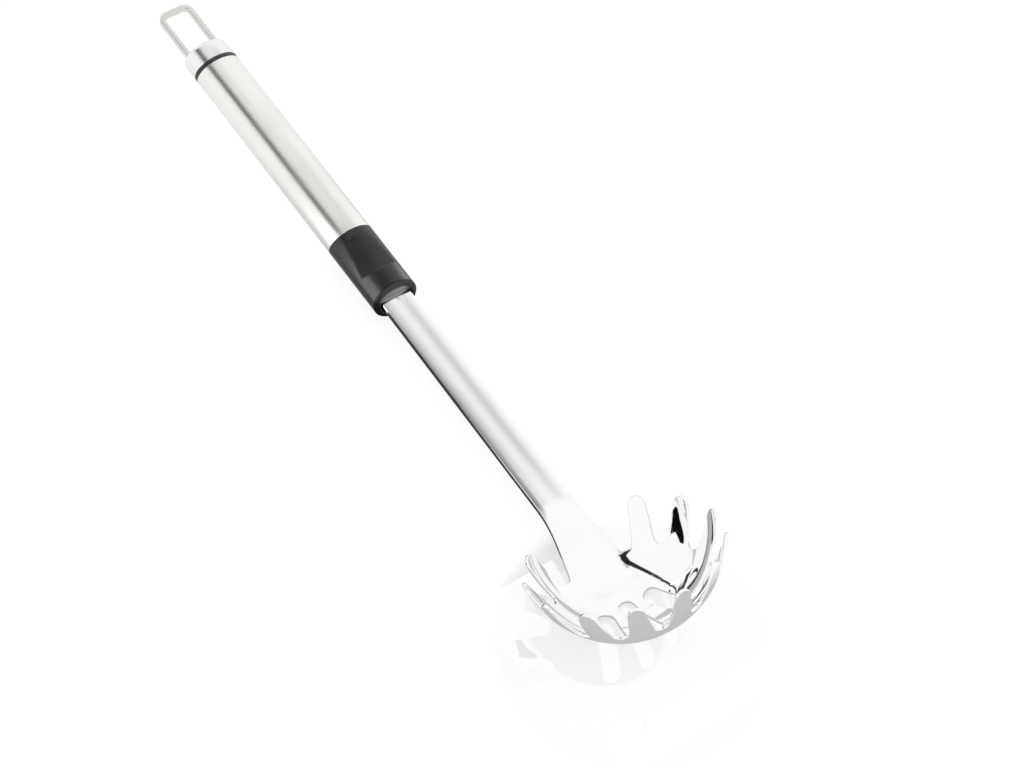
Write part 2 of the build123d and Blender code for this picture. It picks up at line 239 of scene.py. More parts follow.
def build_world():
    world = bpy.data.worlds.new("studio")
    bpy.context.scene.world = world
    world.use_nodes = True
    world.node_tree.nodes.clear()
    t = Tree(world.node_tree)
    way = t.add("ShaderNodeTexCoord").outputs["Generated"]
    split = t.add("ShaderNodeSeparateXYZ")
    t.join(way, split.inputs[0])
    turn = t.span(t.math("ARCTAN2", split.outputs["Y"], split.outputs["Z"]), -math.pi, math.pi)
    tent = t.ramp(turn, [((degrees + 180) / 360, level) for degrees, level in TENT])
    panels = t.ramp(turn, [((degrees + 180) / 360, level) for degrees, level in STEM_PANELS])
    lean = split.outputs["X"]
    leaning = t.math("MULTIPLY", t.span(lean, *PANELS_BEGIN), t.span(lean, *PANELS_END, 1.0, 0.0))
    shade = t.math("MULTIPLY", t.math("SUBTRACT", 1.0, panels), leaning)
    level = t.math("MULTIPLY", tent, t.math("SUBTRACT", 1.0, shade))
    degrees = t.math("MULTIPLY_ADD", turn, 360.0, -180.0)
    along = t.span(lean, -1.0, 1.0)
    seam = t.ramp(along, [((x + 1) / 2, -angle / 180) for x, angle, _ in SEAM])
    half = t.ramp(along, [((x + 1) / 2, width / WIDEST_SEAM) for x, _, width in SEAM])
    off = t.math("ABSOLUTE", t.math("MULTIPLY_ADD", seam, 180.0, degrees))
    beside = t.math("SUBTRACT", off, t.math("MULTIPLY", half, WIDEST_SEAM))
    beside_lit = t.span(beside, -SEAM_SOFT, SEAM_SOFT)
    seam_lit = t.math("MAXIMUM", beside_lit, t.span(lean, *SEAM_END))
    lit = t.math("MAXIMUM", seam_lit, SEAM_LEVEL)
    studio = t.add("ShaderNodeBackground")
    t.join(level, studio.inputs["Color"])
    t.join(lit, studio.inputs["Strength"])
    plain = t.add("ShaderNodeBackground")
    plain.inputs["Color"].default_value = (1, 1, 1, 1)
    mix = t.add("ShaderNodeMixShader")
    t.join(t.add("ShaderNodeLightPath").outputs["Is Camera Ray"], mix.inputs[0])
    t.join(studio.outputs[0], mix.inputs[1])
    t.join(plain.outputs[0], mix.inputs[2])
    t.join(mix.outputs[0], t.add("ShaderNodeOutputWorld").inputs["Surface"])


build_world()
bpy.context.scene.view_settings.view_transform = "Standard"
print("world: tent of", len(TENT), "stops and stem panels of", len(STEM_PANELS))

# %% [markdown]
# The table is a white glossy board. To the camera it is white, it still takes the object's
# faint shadow, and it mirrors only the bowl weakly, as the photograph shows. What the steel
# sees of it is darker near the bowl: a painted shadow of the bowl, put into the table's glow
# rather than cast by the bowl.

# %% Floor
# Sizes, places and distances here are in metres.
FLOOR_SIZE = 60.0
FLOOR_PAINT = 0.20
FLOOR_TO_CAMERA = 0.84
# How bright the floor is to the steel: under the bowl, where this is a painted shadow, and
# well away from it.
FLOOR_TO_STEEL = (0.33, 0.72)
PAINTED_SHADOW_CENTRE = (0.130, 0.0, 0.0)
PAINTED_SHADOW_REACH = (0.15, 0.25)
# Past the object the floor is at least as bright as this to the steel, from these places in
# Y on, so the painted shadow fades out there.
FAR_SIDE = (0.02, 0.06)
FAR_SIDE_LEVEL = 0.70
# The camera sees the bowl mirrored only this near to a place on the floor.
MIRROR_SHARE = 0.22
MIRROR_ROUGHNESS = 0.03
MIRROR_CENTRE = (0.154, -0.006, 0.0)
MIRROR_REACH = (0.048, 0.054)


def stage_piece(bm, name, material):
    """Makes something of a bmesh in metres that isn't part of the object."""
    mesh = bpy.data.meshes.new(name)
    bm.to_mesh(mesh)
    bm.free()
    mesh.materials.append(material)
    piece = bpy.data.objects.new(name, mesh)
    bpy.context.scene.collection.objects.link(piece)
    piece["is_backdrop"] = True
    return piece


def stage_plane(name, size, material):
    """A flat square on the stage."""
    bm = bmesh.new()
    bmesh.ops.create_grid(bm, x_segments=1, y_segments=1, size=size / 2)
    return stage_piece(bm, name, material)


def empty_material(name):
    """A material without nodes, and its tree."""
    material = bpy.data.materials.new(name)
    material.use_nodes = True
    material.node_tree.nodes.clear()
    return material, Tree(material.node_tree)


def table_material():
    material, t = empty_material("white_table")
    camera_ray = t.add("ShaderNodeLightPath").outputs["Is Camera Ray"]
    place = t.add("ShaderNodeSeparateXYZ")
    t.join(t.add("ShaderNodeNewGeometry").outputs["Position"], place.inputs[0])
    far_side = t.span(place.outputs["Y"], *FAR_SIDE, 0.0, FAR_SIDE_LEVEL)
    # Painted shadow: the glow the steel sees is darker round the bowl, not shaded by it.
    painted_bowl_shadow = t.span(t.reach(PAINTED_SHADOW_CENTRE), *PAINTED_SHADOW_REACH, *FLOOR_TO_STEEL)
    to_steel_with_painted_shadow = t.math("MAXIMUM", painted_bowl_shadow, far_side)
    white = t.add("ShaderNodeEmission")
    add = t.math("MULTIPLY", camera_ray, t.math("SUBTRACT", FLOOR_TO_CAMERA, to_steel_with_painted_shadow))
    t.join(t.math("ADD", to_steel_with_painted_shadow, add), white.inputs["Strength"])
    paint = t.add("ShaderNodeBsdfDiffuse")
    paint.inputs["Color"].default_value = (FLOOR_PAINT, FLOOR_PAINT, FLOOR_PAINT, 1)
    both = t.add("ShaderNodeAddShader")
    t.join(white.outputs[0], both.inputs[0])
    t.join(paint.outputs[0], both.inputs[1])
    mirror = t.add("ShaderNodeBsdfGlossy")
    mirror.inputs["Roughness"].default_value = MIRROR_ROUGHNESS
    near = t.span(t.reach(MIRROR_CENTRE), *MIRROR_REACH, MIRROR_SHARE, 0.0)
    mix = t.add("ShaderNodeMixShader")
    t.join(t.math("MULTIPLY", near, camera_ray), mix.inputs[0])
    t.join(both.outputs[0], mix.inputs[1])
    t.join(mirror.outputs[0], mix.inputs[2])
    t.join(mix.outputs[0], t.add("ShaderNodeOutputMaterial").inputs["Surface"])
    return material


stage_plane("floor", FLOOR_SIZE, table_material())
print("floor:", FLOOR_SIZE, "m square")

# %% [markdown]
# Cards stand round the object, as a photographer sets them, and only reflections see them.
# Two graded ones above the handle are dark along one side, and draw the stripe on cap, tube
# and grip. Dark strips beside the stem, one of them flat on the table, blacken its side wall
# and its rim, and two of them thin out towards the bowl. The one flat on the table is painted
# shade: a dark sheet where the table lies in the stem's shade, seen only in the stem's mirror.
# A grey one behind the bowl darkens the rims of the far teeth a little. Two bright ones give
# the black grip its highlights. Two white ones above neck and bowl keep the stem's panels out
# of them, and the nearer one thins out towards the handle, so that the panels fade along the
# neck.

# %% Cards
# Place across a graded card, as a share of its width, and brightness there.
STRIPE = ((0.0, 0.0), (0.29, 0.0), (0.42, 0.78), (0.55, 0.84), (1.0, 0.84))
GRIP_STRIPE = ((0.0, 1.0), (0.10, 0.5), (0.22, 0.0), (0.62, 0.0), (0.85, 0.7), (1.0, 0.9))
# Name, middle, way it faces, length along the handle, width, and brightness across the width.
CARDS = (
    ("handle_card", (-141, -6, 70.8), (0, -0.174, 0.985), 178, 57, STRIPE),
    ("grip_card", (-46, 8, 72), (0, 0, 1), 14, 64, GRIP_STRIPE),
    # A dark sheet flat on the table beside and under the stem: painted shade, seen only in reflections.
    ("painted_stem_shade_card", (50, -20, 0.2), (0, 0, 1), 120, 50, ((0.0, 0.05),)),
    ("side_card", (32, -20, 8.5), (0, 1, 0), 84, 17, ((0.0, 0.05),)),
    ("rim_card", (31.5, -9.5, 13.2), (0, 1, 0), 77, 16.5, ((0.0, 0.05),)),
    ("far_card", (110, 92, 13), (0, 1, 0), 100, 25, ((0.0, 0.55),)),
    ("left_card", (-42, -64.6, 37), (0.274, -0.80, 0.43), 34, 78, ((0.0, 3.6),)),
    ("right_card", (-38, 69, 21), (0.215, 0.976, 0.0), 26, 44, ((0.0, 2.8),)),
    ("neck_card", (68, 75, 95), (0, 0, 1), 76, 172, ((0.0, 1.0),)),
    ("bowl_card", (135.5, 78.5, 95), (0, 0, 1), 59, 163, ((0.0, 1.0),)),
)
# Cards that thin out along their length: the shares of it at which they are clear and full.
THINNING = {"neck_card": (0.0, 0.79), "rim_card": (1.0, 0.6), "side_card": (1.0, 0.8)}


def card_material(name, levels):
    material, t = empty_material(name)
    split = t.add("ShaderNodeSeparateXYZ")
    t.join(t.add("ShaderNodeTexCoord").outputs["Generated"], split.inputs[0])
    glow = t.add("ShaderNodeEmission")
    peak = max(level for _, level in levels)
    glow.inputs["Strength"].default_value = peak
    if len(levels) > 1:
        shares = [(place, level / peak) for place, level in levels]
        t.join(t.ramp(split.outputs["Y"], shares), glow.inputs["Color"])
    surface = t.add("ShaderNodeOutputMaterial").inputs["Surface"]
    if name in THINNING:
        mix = t.add("ShaderNodeMixShader")
        t.join(t.span(split.outputs["X"], *THINNING[name]), mix.inputs[0])
        t.join(t.add("ShaderNodeBsdfTransparent").outputs[0], mix.inputs[1])
        t.join(glow.outputs[0], mix.inputs[2])
        t.join(mix.outputs[0], surface)
    else:
        t.join(glow.outputs[0], surface)
    return material


def only_reflected(card):
    """Leaves a card to reflections alone: no camera sees it, and it gives no light or shadow."""
    for ray in ("camera", "diffuse", "transmission", "shadow"):
        setattr(card, "visible_" + ray, False)
    return card


def add_card(name, middle, way, length, width, levels):
    card = stage_plane(name, 1.0, card_material(name, levels))
    way = Vector(way).normalized()
    long_way = (Vector((1, 0, 0)) - way * way.x).normalized()
    wide_way = way.cross(long_way)
    turn = Matrix((long_way * length * MM, wide_way * width * MM, way)).transposed().to_4x4()
    card.matrix_world = Matrix.Translation(Vector(middle) * MM) @ turn
    return only_reflected(card)


for settings in CARDS:
    print("card:", add_card(*settings).name)

# %% [markdown]
# One tooth of the bowl mirrors a dark thing in the room, with the outline of a flame. Its
# card stands off to one side and is cut to the shape that the curved tooth turns into it.

# %% Flame card
FLAME_PLACE = (70, -263, 66)
FLAME_ALONG = (0.943, -0.334, 0)
FLAME_LEVEL = 0.003
# Places on the card in mm: along it and up it.
FLAME = (
    (17, -50),
    (17, -24),
    (-27, 37),
    (-40, 49),
    (-45, 27),
    (-52, 16),
    (-102, 7),
    (-119, -15),
    (-98, -25),
    (-34, -36),
    (4, -59),
)


def add_flame():
    bm = bmesh.new()
    along = Vector(FLAME_ALONG).normalized()
    corners = [Vector(FLAME_PLACE) + along * x + Vector((0, 0, z)) for x, z in FLAME]
    bm.faces.new([bm.verts.new(corner * MM) for corner in corners])
    black = card_material("flame_card", ((0.0, FLAME_LEVEL),))
    return only_reflected(stage_piece(bm, "flame_card", black))


print("card:", add_flame().name, "with", len(FLAME), "corners")

# %% [markdown]
# The lamps are large and soft. They light the black plastic and lay the faint shadow. The
# steel gets its light from the studio round it, so reflections don't see the lamps.

# %% Lamps
# Name, place, size of the square and power in watts.
LAMPS = (
    ("key_lamp", (-300, -900, 1300), 900, 5),
    ("fill_lamp", (600, 800, 1200), 900, 4),
)


def add_lamp(name, place, size, power):
    data = bpy.data.lights.new(name, "AREA")
    data.size = size * MM
    data.energy = power
    lamp = bpy.data.objects.new(name, data)
    lamp.location = Vector(place) * MM
    lamp.rotation_mode = "QUATERNION"
    lamp.rotation_quaternion = (-Vector(place)).to_track_quat("-Z", "Y")
    lamp.visible_glossy = False
    bpy.context.scene.collection.objects.link(lamp)


for lamp in LAMPS:
    add_lamp(*lamp)
print("lamps:", len(LAMPS))

# %% [markdown]
# Three effects are shared by the materials, each a node group that gives only a value. The
# first is grain: a belt or a blast leaves fine lines or pits, drawn out one way or not at
# all by how the coordinates are stretched before they go in.

# %% Shared effect: grain
def new_group(name, inputs, outputs):
    """An empty node group with its sockets, and the nodes at its two ends."""
    tree = bpy.data.node_groups.new(name, "ShaderNodeTree")
    for socket, kind in inputs:
        tree.interface.new_socket(socket, in_out="INPUT", socket_type=kind)
    for socket, kind in outputs:
        tree.interface.new_socket(socket, in_out="OUTPUT", socket_type=kind)
    t = Tree(tree)
    return t, t.add("NodeGroupInput").outputs, t.add("NodeGroupOutput").inputs


VECTOR, VALUE = "NodeSocketVector", "NodeSocketFloat"


def noise(t, vector, scale, detail, rough):
    """Noise between 0 and 1, its scale in waves to the metre or a socket."""
    node = t.add("ShaderNodeTexNoise")
    t.join(vector, node.inputs["Vector"])
    t.feed(scale, node.inputs["Scale"])
    node.inputs["Detail"].default_value = detail
    node.inputs["Roughness"].default_value = rough
    return node.outputs[0]


# The clouds in a finish have this many waves to one of its grain.
CLOUD_SHARE = 0.11


def grain_group():
    inputs, outputs = (("Vector", VECTOR), ("Fineness", VALUE)), (("Height", VALUE), ("Cloud", VALUE))
    t, given, result = new_group("surface_grain", inputs, outputs)
    coarse = t.math("MULTIPLY", given["Fineness"], CLOUD_SHARE)
    fine = noise(t, given["Vector"], given["Fineness"], 3, 0.6)
    broad = noise(t, given["Vector"], coarse, 2, 0.5)
    t.join(fine, result["Height"])
    t.join(broad, result["Cloud"])
    return t.tree


grain = grain_group()
print("group:", grain.name)

# %% [markdown]
# The second is wear. A tool from a kitchen drawer has faint smudges where hands touch it
# and a few hairline scratches. Smudges are broad soft noise, scratches are noise drawn out
# very long and cut off high, so that only its thin crests are left.

# %% Shared effect: wear
# Waves to the metre, and the stretch of the noise's range that shows.
SMUDGES, SMUDGES_SHOW = 38, (0.48, 0.72)
SCRATCHES, SCRATCHES_SHOW = 900, (0.70, 0.76)
# Two sets of scratches: how each is turned, in radians, and shifted, in metres.
SCRATCH_SETS = ((0.5, 0.0), (-0.9, 0.37))
SCRATCH_STRETCH = 0.03


def wear_group():
    outputs = (("Smudge", VALUE), ("Scratch", VALUE))
    t, given, result = new_group("handling_wear", (("Vector", VECTOR),), outputs)
    cloud = noise(t, given["Vector"], SMUDGES, 3, 0.55)
    t.join(t.span(cloud, *SMUDGES_SHOW), result["Smudge"])
    crests = []
    for turn, shift in SCRATCH_SETS:
        drawn = t.add("ShaderNodeMapping")
        drawn.inputs["Location"].default_value = (shift, shift, shift)
        drawn.inputs["Rotation"].default_value = (0, 0, turn)
        drawn.inputs["Scale"].default_value = (SCRATCH_STRETCH, 1, 1)
        t.join(given["Vector"], drawn.inputs["Vector"])
        lines = noise(t, drawn.outputs[0], SCRATCHES, 2, 0.5)
        crests.append(t.span(lines, *SCRATCHES_SHOW))
    t.join(t.math("MAXIMUM", *crests), result["Scratch"])
    return t.tree


wear = wear_group()
print("group:", wear.name)

# %% [markdown]
# The third is dust. It lies in specks on what faces up, so the group is told how far a
# surface faces up and gives a mask of small specks there.

# %% Shared effect: dust
# Waves to the metre, and the stretch of the noise's range that shows.
SPECKS, SPECKS_SHOW = 1400, (0.68, 0.80)
PATCHES, PATCHES_SHOW = 60, (0.40, 0.65)
# How far a surface faces up, as its normal's Z, where dust begins to lie and lies fully.
DUSTY_SLOPES = (0.2, 0.9)


def dust_group():
    inputs = (("Vector", VECTOR), ("Up", VALUE))
    t, given, result = new_group("settled_dust", inputs, (("Mask", VALUE),))
    specks = t.span(noise(t, given["Vector"], SPECKS, 2, 0.7), *SPECKS_SHOW)
    patches = t.span(noise(t, given["Vector"], PATCHES, 2, 0.5), *PATCHES_SHOW)
    facing = t.span(given["Up"], *DUSTY_SLOPES)
    t.join(t.math("MULTIPLY", t.math("MULTIPLY", specks, patches), facing), result["Mask"])
    return t.tree


dust = dust_group()
print("group:", dust.name)

# %% [markdown]
# Every material has the same frame: its own coordinates are the object's, in metres, a
# grain that is stretched as the finish asks, and wear on top. The values that differ are
# told to it, so a finish reads as one line of settings.

# %% Frame of a material
def base_material(name, stretch, fineness):
    """A material's tree, its shader, and the outputs of its grain, wear and dust."""
    material = bpy.data.materials.new(name)
    material.use_nodes = True
    t = Tree(material.node_tree)
    place = t.add("ShaderNodeTexCoord").outputs["Object"]
    drawn = t.add("ShaderNodeMapping")
    drawn.inputs["Scale"].default_value = stretch
    t.join(place, drawn.inputs["Vector"])
    lines = t.add("ShaderNodeGroup", node_tree=grain)
    lines.inputs["Fineness"].default_value = fineness
    t.join(drawn.outputs[0], lines.inputs["Vector"])
    marks = t.add("ShaderNodeGroup", node_tree=wear)
    t.join(place, marks.inputs["Vector"])
    specks = t.add("ShaderNodeGroup", node_tree=dust)
    up = t.add("ShaderNodeSeparateXYZ")
    t.join(t.add("ShaderNodeNewGeometry").outputs["Normal"], up.inputs[0])
    t.join(place, specks.inputs["Vector"])
    t.join(up.outputs["Z"], specks.inputs["Up"])
    shader = material.node_tree.nodes["Principled BSDF"]
    return material, t, shader, lines.outputs, marks.outputs, specks.outputs["Mask"]


def tinted(t, mask, plain, other):
    """One colour or the other, by a mask."""
    node = t.add("ShaderNodeMix", data_type="RGBA")
    node.inputs["A"].default_value = (*plain, 1)
    node.inputs["B"].default_value = (*other, 1)
    t.join(mask, node.inputs["Factor"])
    return node.outputs["Result"]


def raised(t, height, depth, strength):
    """The normal of a surface with this relief, its depth in metres."""
    node = t.add("ShaderNodeBump")
    node.inputs["Strength"].default_value = strength
    node.inputs["Distance"].default_value = depth
    t.join(height, node.inputs["Height"])
    return node.outputs[0]


print("material helpers ready")

# %% [markdown]
# Steel is a metal with a nearly neutral reflection. Polishing leaves only hairlines and a
# haze of smudges, a belt leaves grain along its run, blasting leaves pits all over. The
# rougher the finish, the wider it spreads what it mirrors.

# %% Steel finishes
# Name, colour, smudged colour, roughness, what smudges add to it, the grain's stretch and
# fineness, its relief in metres and how strongly that shows.
STEELS = (
    ("polished_steel", (0.965, 0.965, 0.96), (0.945, 0.94, 0.93), 0.035, 0.03, (0.2, 1, 1), 900, 2e-6, 0.05),
    ("satin_steel", (0.89, 0.885, 0.865), (0.86, 0.85, 0.825), 0.26, 0.04, (0.05, 1, 1), 3600, 5e-6, 0.05),
    ("cap_steel", (0.90, 0.895, 0.88), (0.87, 0.86, 0.84), 0.25, 0.04, (1, 0.3, 1), 3600, 5e-6, 0.05),
    ("loop_steel", (0.74, 0.73, 0.705), (0.70, 0.69, 0.665), 0.19, 0.05, (0.3, 0.3, 1), 2600, 6e-6, 0.12),
    ("pin_steel", (0.78, 0.78, 0.77), (0.70, 0.69, 0.67), 0.22, 0.06, (1, 1, 0.1), 3000, 8e-6, 0.20),
)
# What scratches, dust and the grain's clouds add to the roughness, and how deep scratches go.
SCRATCH_ADDS, DUST_ADDS, CLOUD_ADDS = 0.06, 0.10, 0.02
SCRATCH_DEPTH = 0.6


def steel(name, colour, smudged, roughness, added, stretch, fineness, relief, strength):
    material, t, shader, lines, marks, specks = base_material(name, stretch, fineness)
    shader.inputs["Metallic"].default_value = 1
    t.join(tinted(t, marks["Smudge"], colour, smudged), shader.inputs["Base Color"])
    rough = t.math("MULTIPLY_ADD", marks["Smudge"], added, roughness)
    rough = t.math("MULTIPLY_ADD", marks["Scratch"], SCRATCH_ADDS, rough)
    rough = t.math("MULTIPLY_ADD", specks, DUST_ADDS, rough)
    t.join(t.math("MULTIPLY_ADD", lines["Cloud"], CLOUD_ADDS, rough), shader.inputs["Roughness"])
    height = t.math("SUBTRACT", lines["Height"], t.math("MULTIPLY", marks["Scratch"], SCRATCH_DEPTH))
    t.join(raised(t, height, relief, strength), shader.inputs["Normal"])
    return material


finishes = {settings[0]: steel(*settings) for settings in STEELS}
print("steels:", ", ".join(finishes))

# %% [markdown]
# The plastics are moulded, and the mould's fine spark-eroded texture is on all of them. The
# grip and the ring are black with a soft sheen. The plug is light grey, and its colour here is
# set darker than that, partly its own grey and partly painted shade for the grip's mouth that
# it sits in. The core and the anchor inside are filled with glass fibre, so they are duller
# and slightly mottled.

# %% Plastic finishes
# Name, colour, mottled colour, roughness, the texture's fineness, its relief in metres, how
# strongly that shows, and how dusty the piece is.
PLASTICS = (
    ("black_plastic", (0.0065, 0.0063, 0.0068), (0.009, 0.0087, 0.009), 0.29, 2200, 2e-5, 0.20, 0.05),
    ("ring_plastic", (0.012, 0.012, 0.013), (0.016, 0.016, 0.016), 0.34, 2600, 2e-5, 0.20, 0.03),
    # The plug's grey is darker than its own colour: partly painted shade for the grip's mouth.
    ("grey_plastic", (0.21, 0.198, 0.186), (0.18, 0.17, 0.16), 0.42, 2000, 3e-5, 0.25, 0.04),
    ("core_plastic", (0.36, 0.36, 0.35), (0.28, 0.28, 0.27), 0.52, 1200, 5e-5, 0.35, 0.06),
)
DUST_COLOUR = (0.32, 0.31, 0.29)
PLASTIC_IOR = 1.56
MOTTLING = (0.35, 0.65)
# Hands polish plastic a little where they touch it, and dust dulls it.
HANDS_ADD, PLASTIC_DUST_ADDS = -0.04, 0.2


def plastic(name, colour, mottled, roughness, fineness, relief, strength, dusty):
    material, t, shader, lines, marks, specks = base_material(name, (1, 1, 1), fineness)
    body = tinted(t, t.span(lines["Cloud"], *MOTTLING), colour, mottled)
    dusted = t.add("ShaderNodeMix", data_type="RGBA")
    t.join(t.math("MULTIPLY", specks, dusty), dusted.inputs["Factor"])
    t.join(body, dusted.inputs["A"])
    dusted.inputs["B"].default_value = (*DUST_COLOUR, 1)
    t.join(dusted.outputs["Result"], shader.inputs["Base Color"])
    rough = t.math("MULTIPLY_ADD", marks["Smudge"], HANDS_ADD, roughness)
    rough = t.math("MULTIPLY_ADD", specks, PLASTIC_DUST_ADDS, rough)
    t.join(rough, shader.inputs["Roughness"])
    shader.inputs["IOR"].default_value = PLASTIC_IOR
    t.join(raised(t, lines["Height"], relief, strength), shader.inputs["Normal"])
    return material


finishes.update({settings[0]: plastic(*settings) for settings in PLASTICS})
print("finishes:", len(finishes))

# %% [markdown]
# Each node of the measured model gets its finish. The pieces that stay as measured are the
# plug and, hidden inside, the core, the pin and the anchor. The others are made anew below,
# because their rims want a real rounding.

# %% Finishes on the measured model
FINISH_OF = {
    "server_head": "polished_steel",
    "stem_plug": "grey_plastic",
    "front_collar": "black_plastic",
    "handle_core": "core_plastic",
    "tang_pin": "pin_steel",
    "handle_tube": "satin_steel",
    "spacer_ring": "ring_plastic",
    "end_anchor": "core_plastic",
    "end_cap": "cap_steel",
    "hanging_loop": "loop_steel",
}

for name, node in nodes.items():
    for slot in node.material_slots:
        slot.material = finishes[FINISH_OF[name]]
print("finished nodes:", len(nodes))

# %% [markdown]
# The head is one stamping: bowl, teeth, neck, stem and tang. On the real object a flat
# blank is cut out, its edge is rounded in a tumbler, and a press forms it. The same three
# steps make the mesh. Distances in the flat blank are measured from the bowl's deepest
# point along the sheet, so that forming it keeps them.

# %% Head: sizes
# Bowl. Polar angles run up its side from its deepest point, and the others round its axis.
BOWL_RADIUS = 37.4
SHEET = 1.3
BOWL_TILT = math.radians(33.7)
# Teeth: where they begin, the radius of their bend, their length, and their pitch in degrees.
ROOT_POLAR = math.radians(51.5)
TOOTH_BEND = 46.0
TOOTH_LENGTH = 18.5
TOOTH_PITCH = 28.0
TIP_ROUND = 3.4
GAP_ROUND = 3.1
GAPS_EACH_SIDE = 5
# The wider gap between the last tooth and the neck, its place in degrees round the bowl.
NECK_GAP = 152.0
NECK_GAP_POLAR = math.radians(50.5)
NECK_GAP_ROUND = 2.5
# Neck, with its half width at shares of its length, as shares of that at the bowl.
NECK_LENGTH = 29.0
NECK_FLARE = math.radians(14.5)
NECK_WIDTH_SHARES = ((0.36, 0.57), (0.68, 0.69))
# Stem, its crown's height over the handle's axis, and how much lower its edges are.
STEM_THICKNESS = 2.6
STEM_HALF_AT_NECK = 7.0
STEM_HALF_AT_GRIP = 6.3
CROWN_HEIGHT = 1.9
CROWN_RISE = 1.1
# What rounding may add to a distance, and what keeps a division from being by zero.
HAIR = 1e-6
NEVER_ZERO = 1e-12

middle_radius = BOWL_RADIUS - SHEET / 2
bend_radius = TOOTH_BEND - SHEET / 2
# The centre of the teeth's arc lies this far past the bowl's axis, and above its centre.
bend_aside = (TOOTH_BEND - BOWL_RADIUS) * math.sin(ROOT_POLAR)
bend_above = (TOOTH_BEND - BOWL_RADIUS) * math.cos(ROOT_POLAR)
tip_polar = ROOT_POLAR + TOOTH_LENGTH / TOOTH_BEND
bowl_centre = np.array((head_high.x - BOWL_RADIUS, 0, BOWL_RADIUS))
out_way = np.array((math.cos(BOWL_TILT), 0, math.sin(BOWL_TILT)))
axis_way = np.array((-math.sin(BOWL_TILT), 0, math.cos(BOWL_TILT)))
side_way = np.array((0, 1, 0))
root_run = middle_radius * ROOT_POLAR
print(f"bowl centre {bowl_centre.round(2)} mm, tooth tips at {math.degrees(tip_polar):.1f} degrees")

# %% [markdown]
# The forming step is one formula from the flat blank to the formed sheet. A meridian of
# the bowl is an arc of a circle that goes over into a wider arc where the teeth begin.


# %% Head: the bowl's meridian
def meridian(run):
    """Distance from the bowl's axis, and drop below its centre, at a run along the sheet."""
    polar = run / middle_radius
    angle = ROOT_POLAR + (run - root_run) / bend_radius
    tooth = run > root_run
    tooth_radius = bend_radius * np.sin(angle) - bend_aside
    tooth_drop = bend_radius * np.cos(angle) - bend_above
    radius = np.where(tooth, tooth_radius, middle_radius * np.sin(polar))
    drop = np.where(tooth, tooth_drop, middle_radius * np.cos(polar))
    return radius, drop


def run_at(radius, drop):
    """The run along the sheet to the meridian's point in this direction, and how far off it lies."""
    bend_angle = np.arctan2(radius + bend_aside, drop + bend_above)
    reach = np.hypot(radius + bend_aside, drop + bend_above)
    polar = np.arctan2(radius, drop)
    tooth = polar > ROOT_POLAR
    run = np.where(tooth, root_run + (bend_angle - ROOT_POLAR) * bend_radius, polar * middle_radius)
    off = np.where(tooth, reach - bend_radius, np.hypot(radius, drop) - middle_radius)
    return run, off


def bowl_point(p, v):
    """Middle of the formed sheet at a place in the blank, on the bowl and its teeth."""
    run = np.maximum(np.hypot(p, v), NEVER_ZERO)
    radius, drop = meridian(run)
    outward = (p / run)[:, None] * out_way + (v / run)[:, None] * side_way
    return bowl_centre + outward * radius[:, None] - axis_way * drop[:, None]


# %% [markdown]
# The neck is pressed too, but as a saddle: across it keeps the stem's low crown, and along
# it swings down in one smooth curve that meets the bowl with no kink. It is drawn over the
# line where the two join, so that line is worked out first, in the room and in the blank.

# %% Head: where neck and bowl join
JOIN_POINTS = 80


def bowl_places(points):
    """Places in the blank of points on the bowl's middle surface."""
    offset = points - bowl_centre
    along, aside, drop = offset @ out_way, offset @ side_way, -(offset @ axis_way)
    radius = np.hypot(along, aside)
    run, _ = run_at(radius, drop)
    return run * along / radius, run * aside / radius


gap_azimuth = math.radians(NECK_GAP)
gap_way = out_way * math.cos(gap_azimuth) + side_way * math.sin(gap_azimuth)
root_point = bowl_centre + middle_radius * (
    gap_way * math.sin(NECK_GAP_POLAR) - axis_way * math.cos(NECK_GAP_POLAR)
)
join_x, join_half = root_point[0], root_point[1]
join_offset = bowl_centre[0] - join_x
neck_start = join_x - NECK_LENGTH

join_y = np.linspace(0, join_half + GAP_ROUND, JOIN_POINTS)
join_drop = np.sqrt(middle_radius**2 - join_offset**2 - join_y**2)
join_points = np.stack((np.full_like(join_y, join_x), join_y, bowl_centre[2] - join_drop), axis=1)
join_p, join_v = bowl_places(join_points)
neck_v = np.interp(join_half, join_y, join_v)
print(f"neck joins the bowl at x {join_x:.2f} mm, {2 * join_half:.1f} mm wide")


# %% [markdown]
# Along the neck three things go over from the stem's to the bowl's, all by the same soft
# ease: the sheet's height, its thickness, and the way through it. The stem is cut from
# above, so its walls are upright, while the bowl's rim is square to the sheet.

# %% Head: neck, stem and tang
def neck_share(x):
    """How far along the neck a place is: 0 where the stem ends, 1 where the bowl begins."""
    return np.clip((x - neck_start) / NECK_LENGTH, 0, 1)


def eased(share):
    return share**2 * (3 - 2 * share)


def neck_point(p, v):
    """Middle of the formed sheet on the neck, the stem and the tang."""
    y = np.interp(np.abs(v), join_v, join_y)
    x = join_x + p - np.interp(np.abs(v), join_v, join_p)
    share = neck_share(x)
    rise_part = (share**3 - share**2) * NECK_LENGTH
    bowl_drop = np.sqrt(middle_radius**2 - join_offset**2 - y**2)
    crown = CROWN_HEIGHT - CROWN_RISE * (y / STEM_HALF_AT_NECK) ** 2
    stem = axis_height + crown - STEM_THICKNESS / 2
    z = stem + (bowl_centre[2] - bowl_drop - stem) * eased(share) - rise_part * join_offset / bowl_drop
    return np.stack((x, np.sign(v) * y, z), axis=1)


def on_neck(p, v):
    return (p < np.interp(np.abs(v), join_v, join_p)) & (np.abs(v) <= neck_v + HAIR)


def formed(p, v):
    """Middle of the formed sheet anywhere in the blank."""
    return np.where(on_neck(p, v)[:, None], neck_point(p, v), bowl_point(p, v))


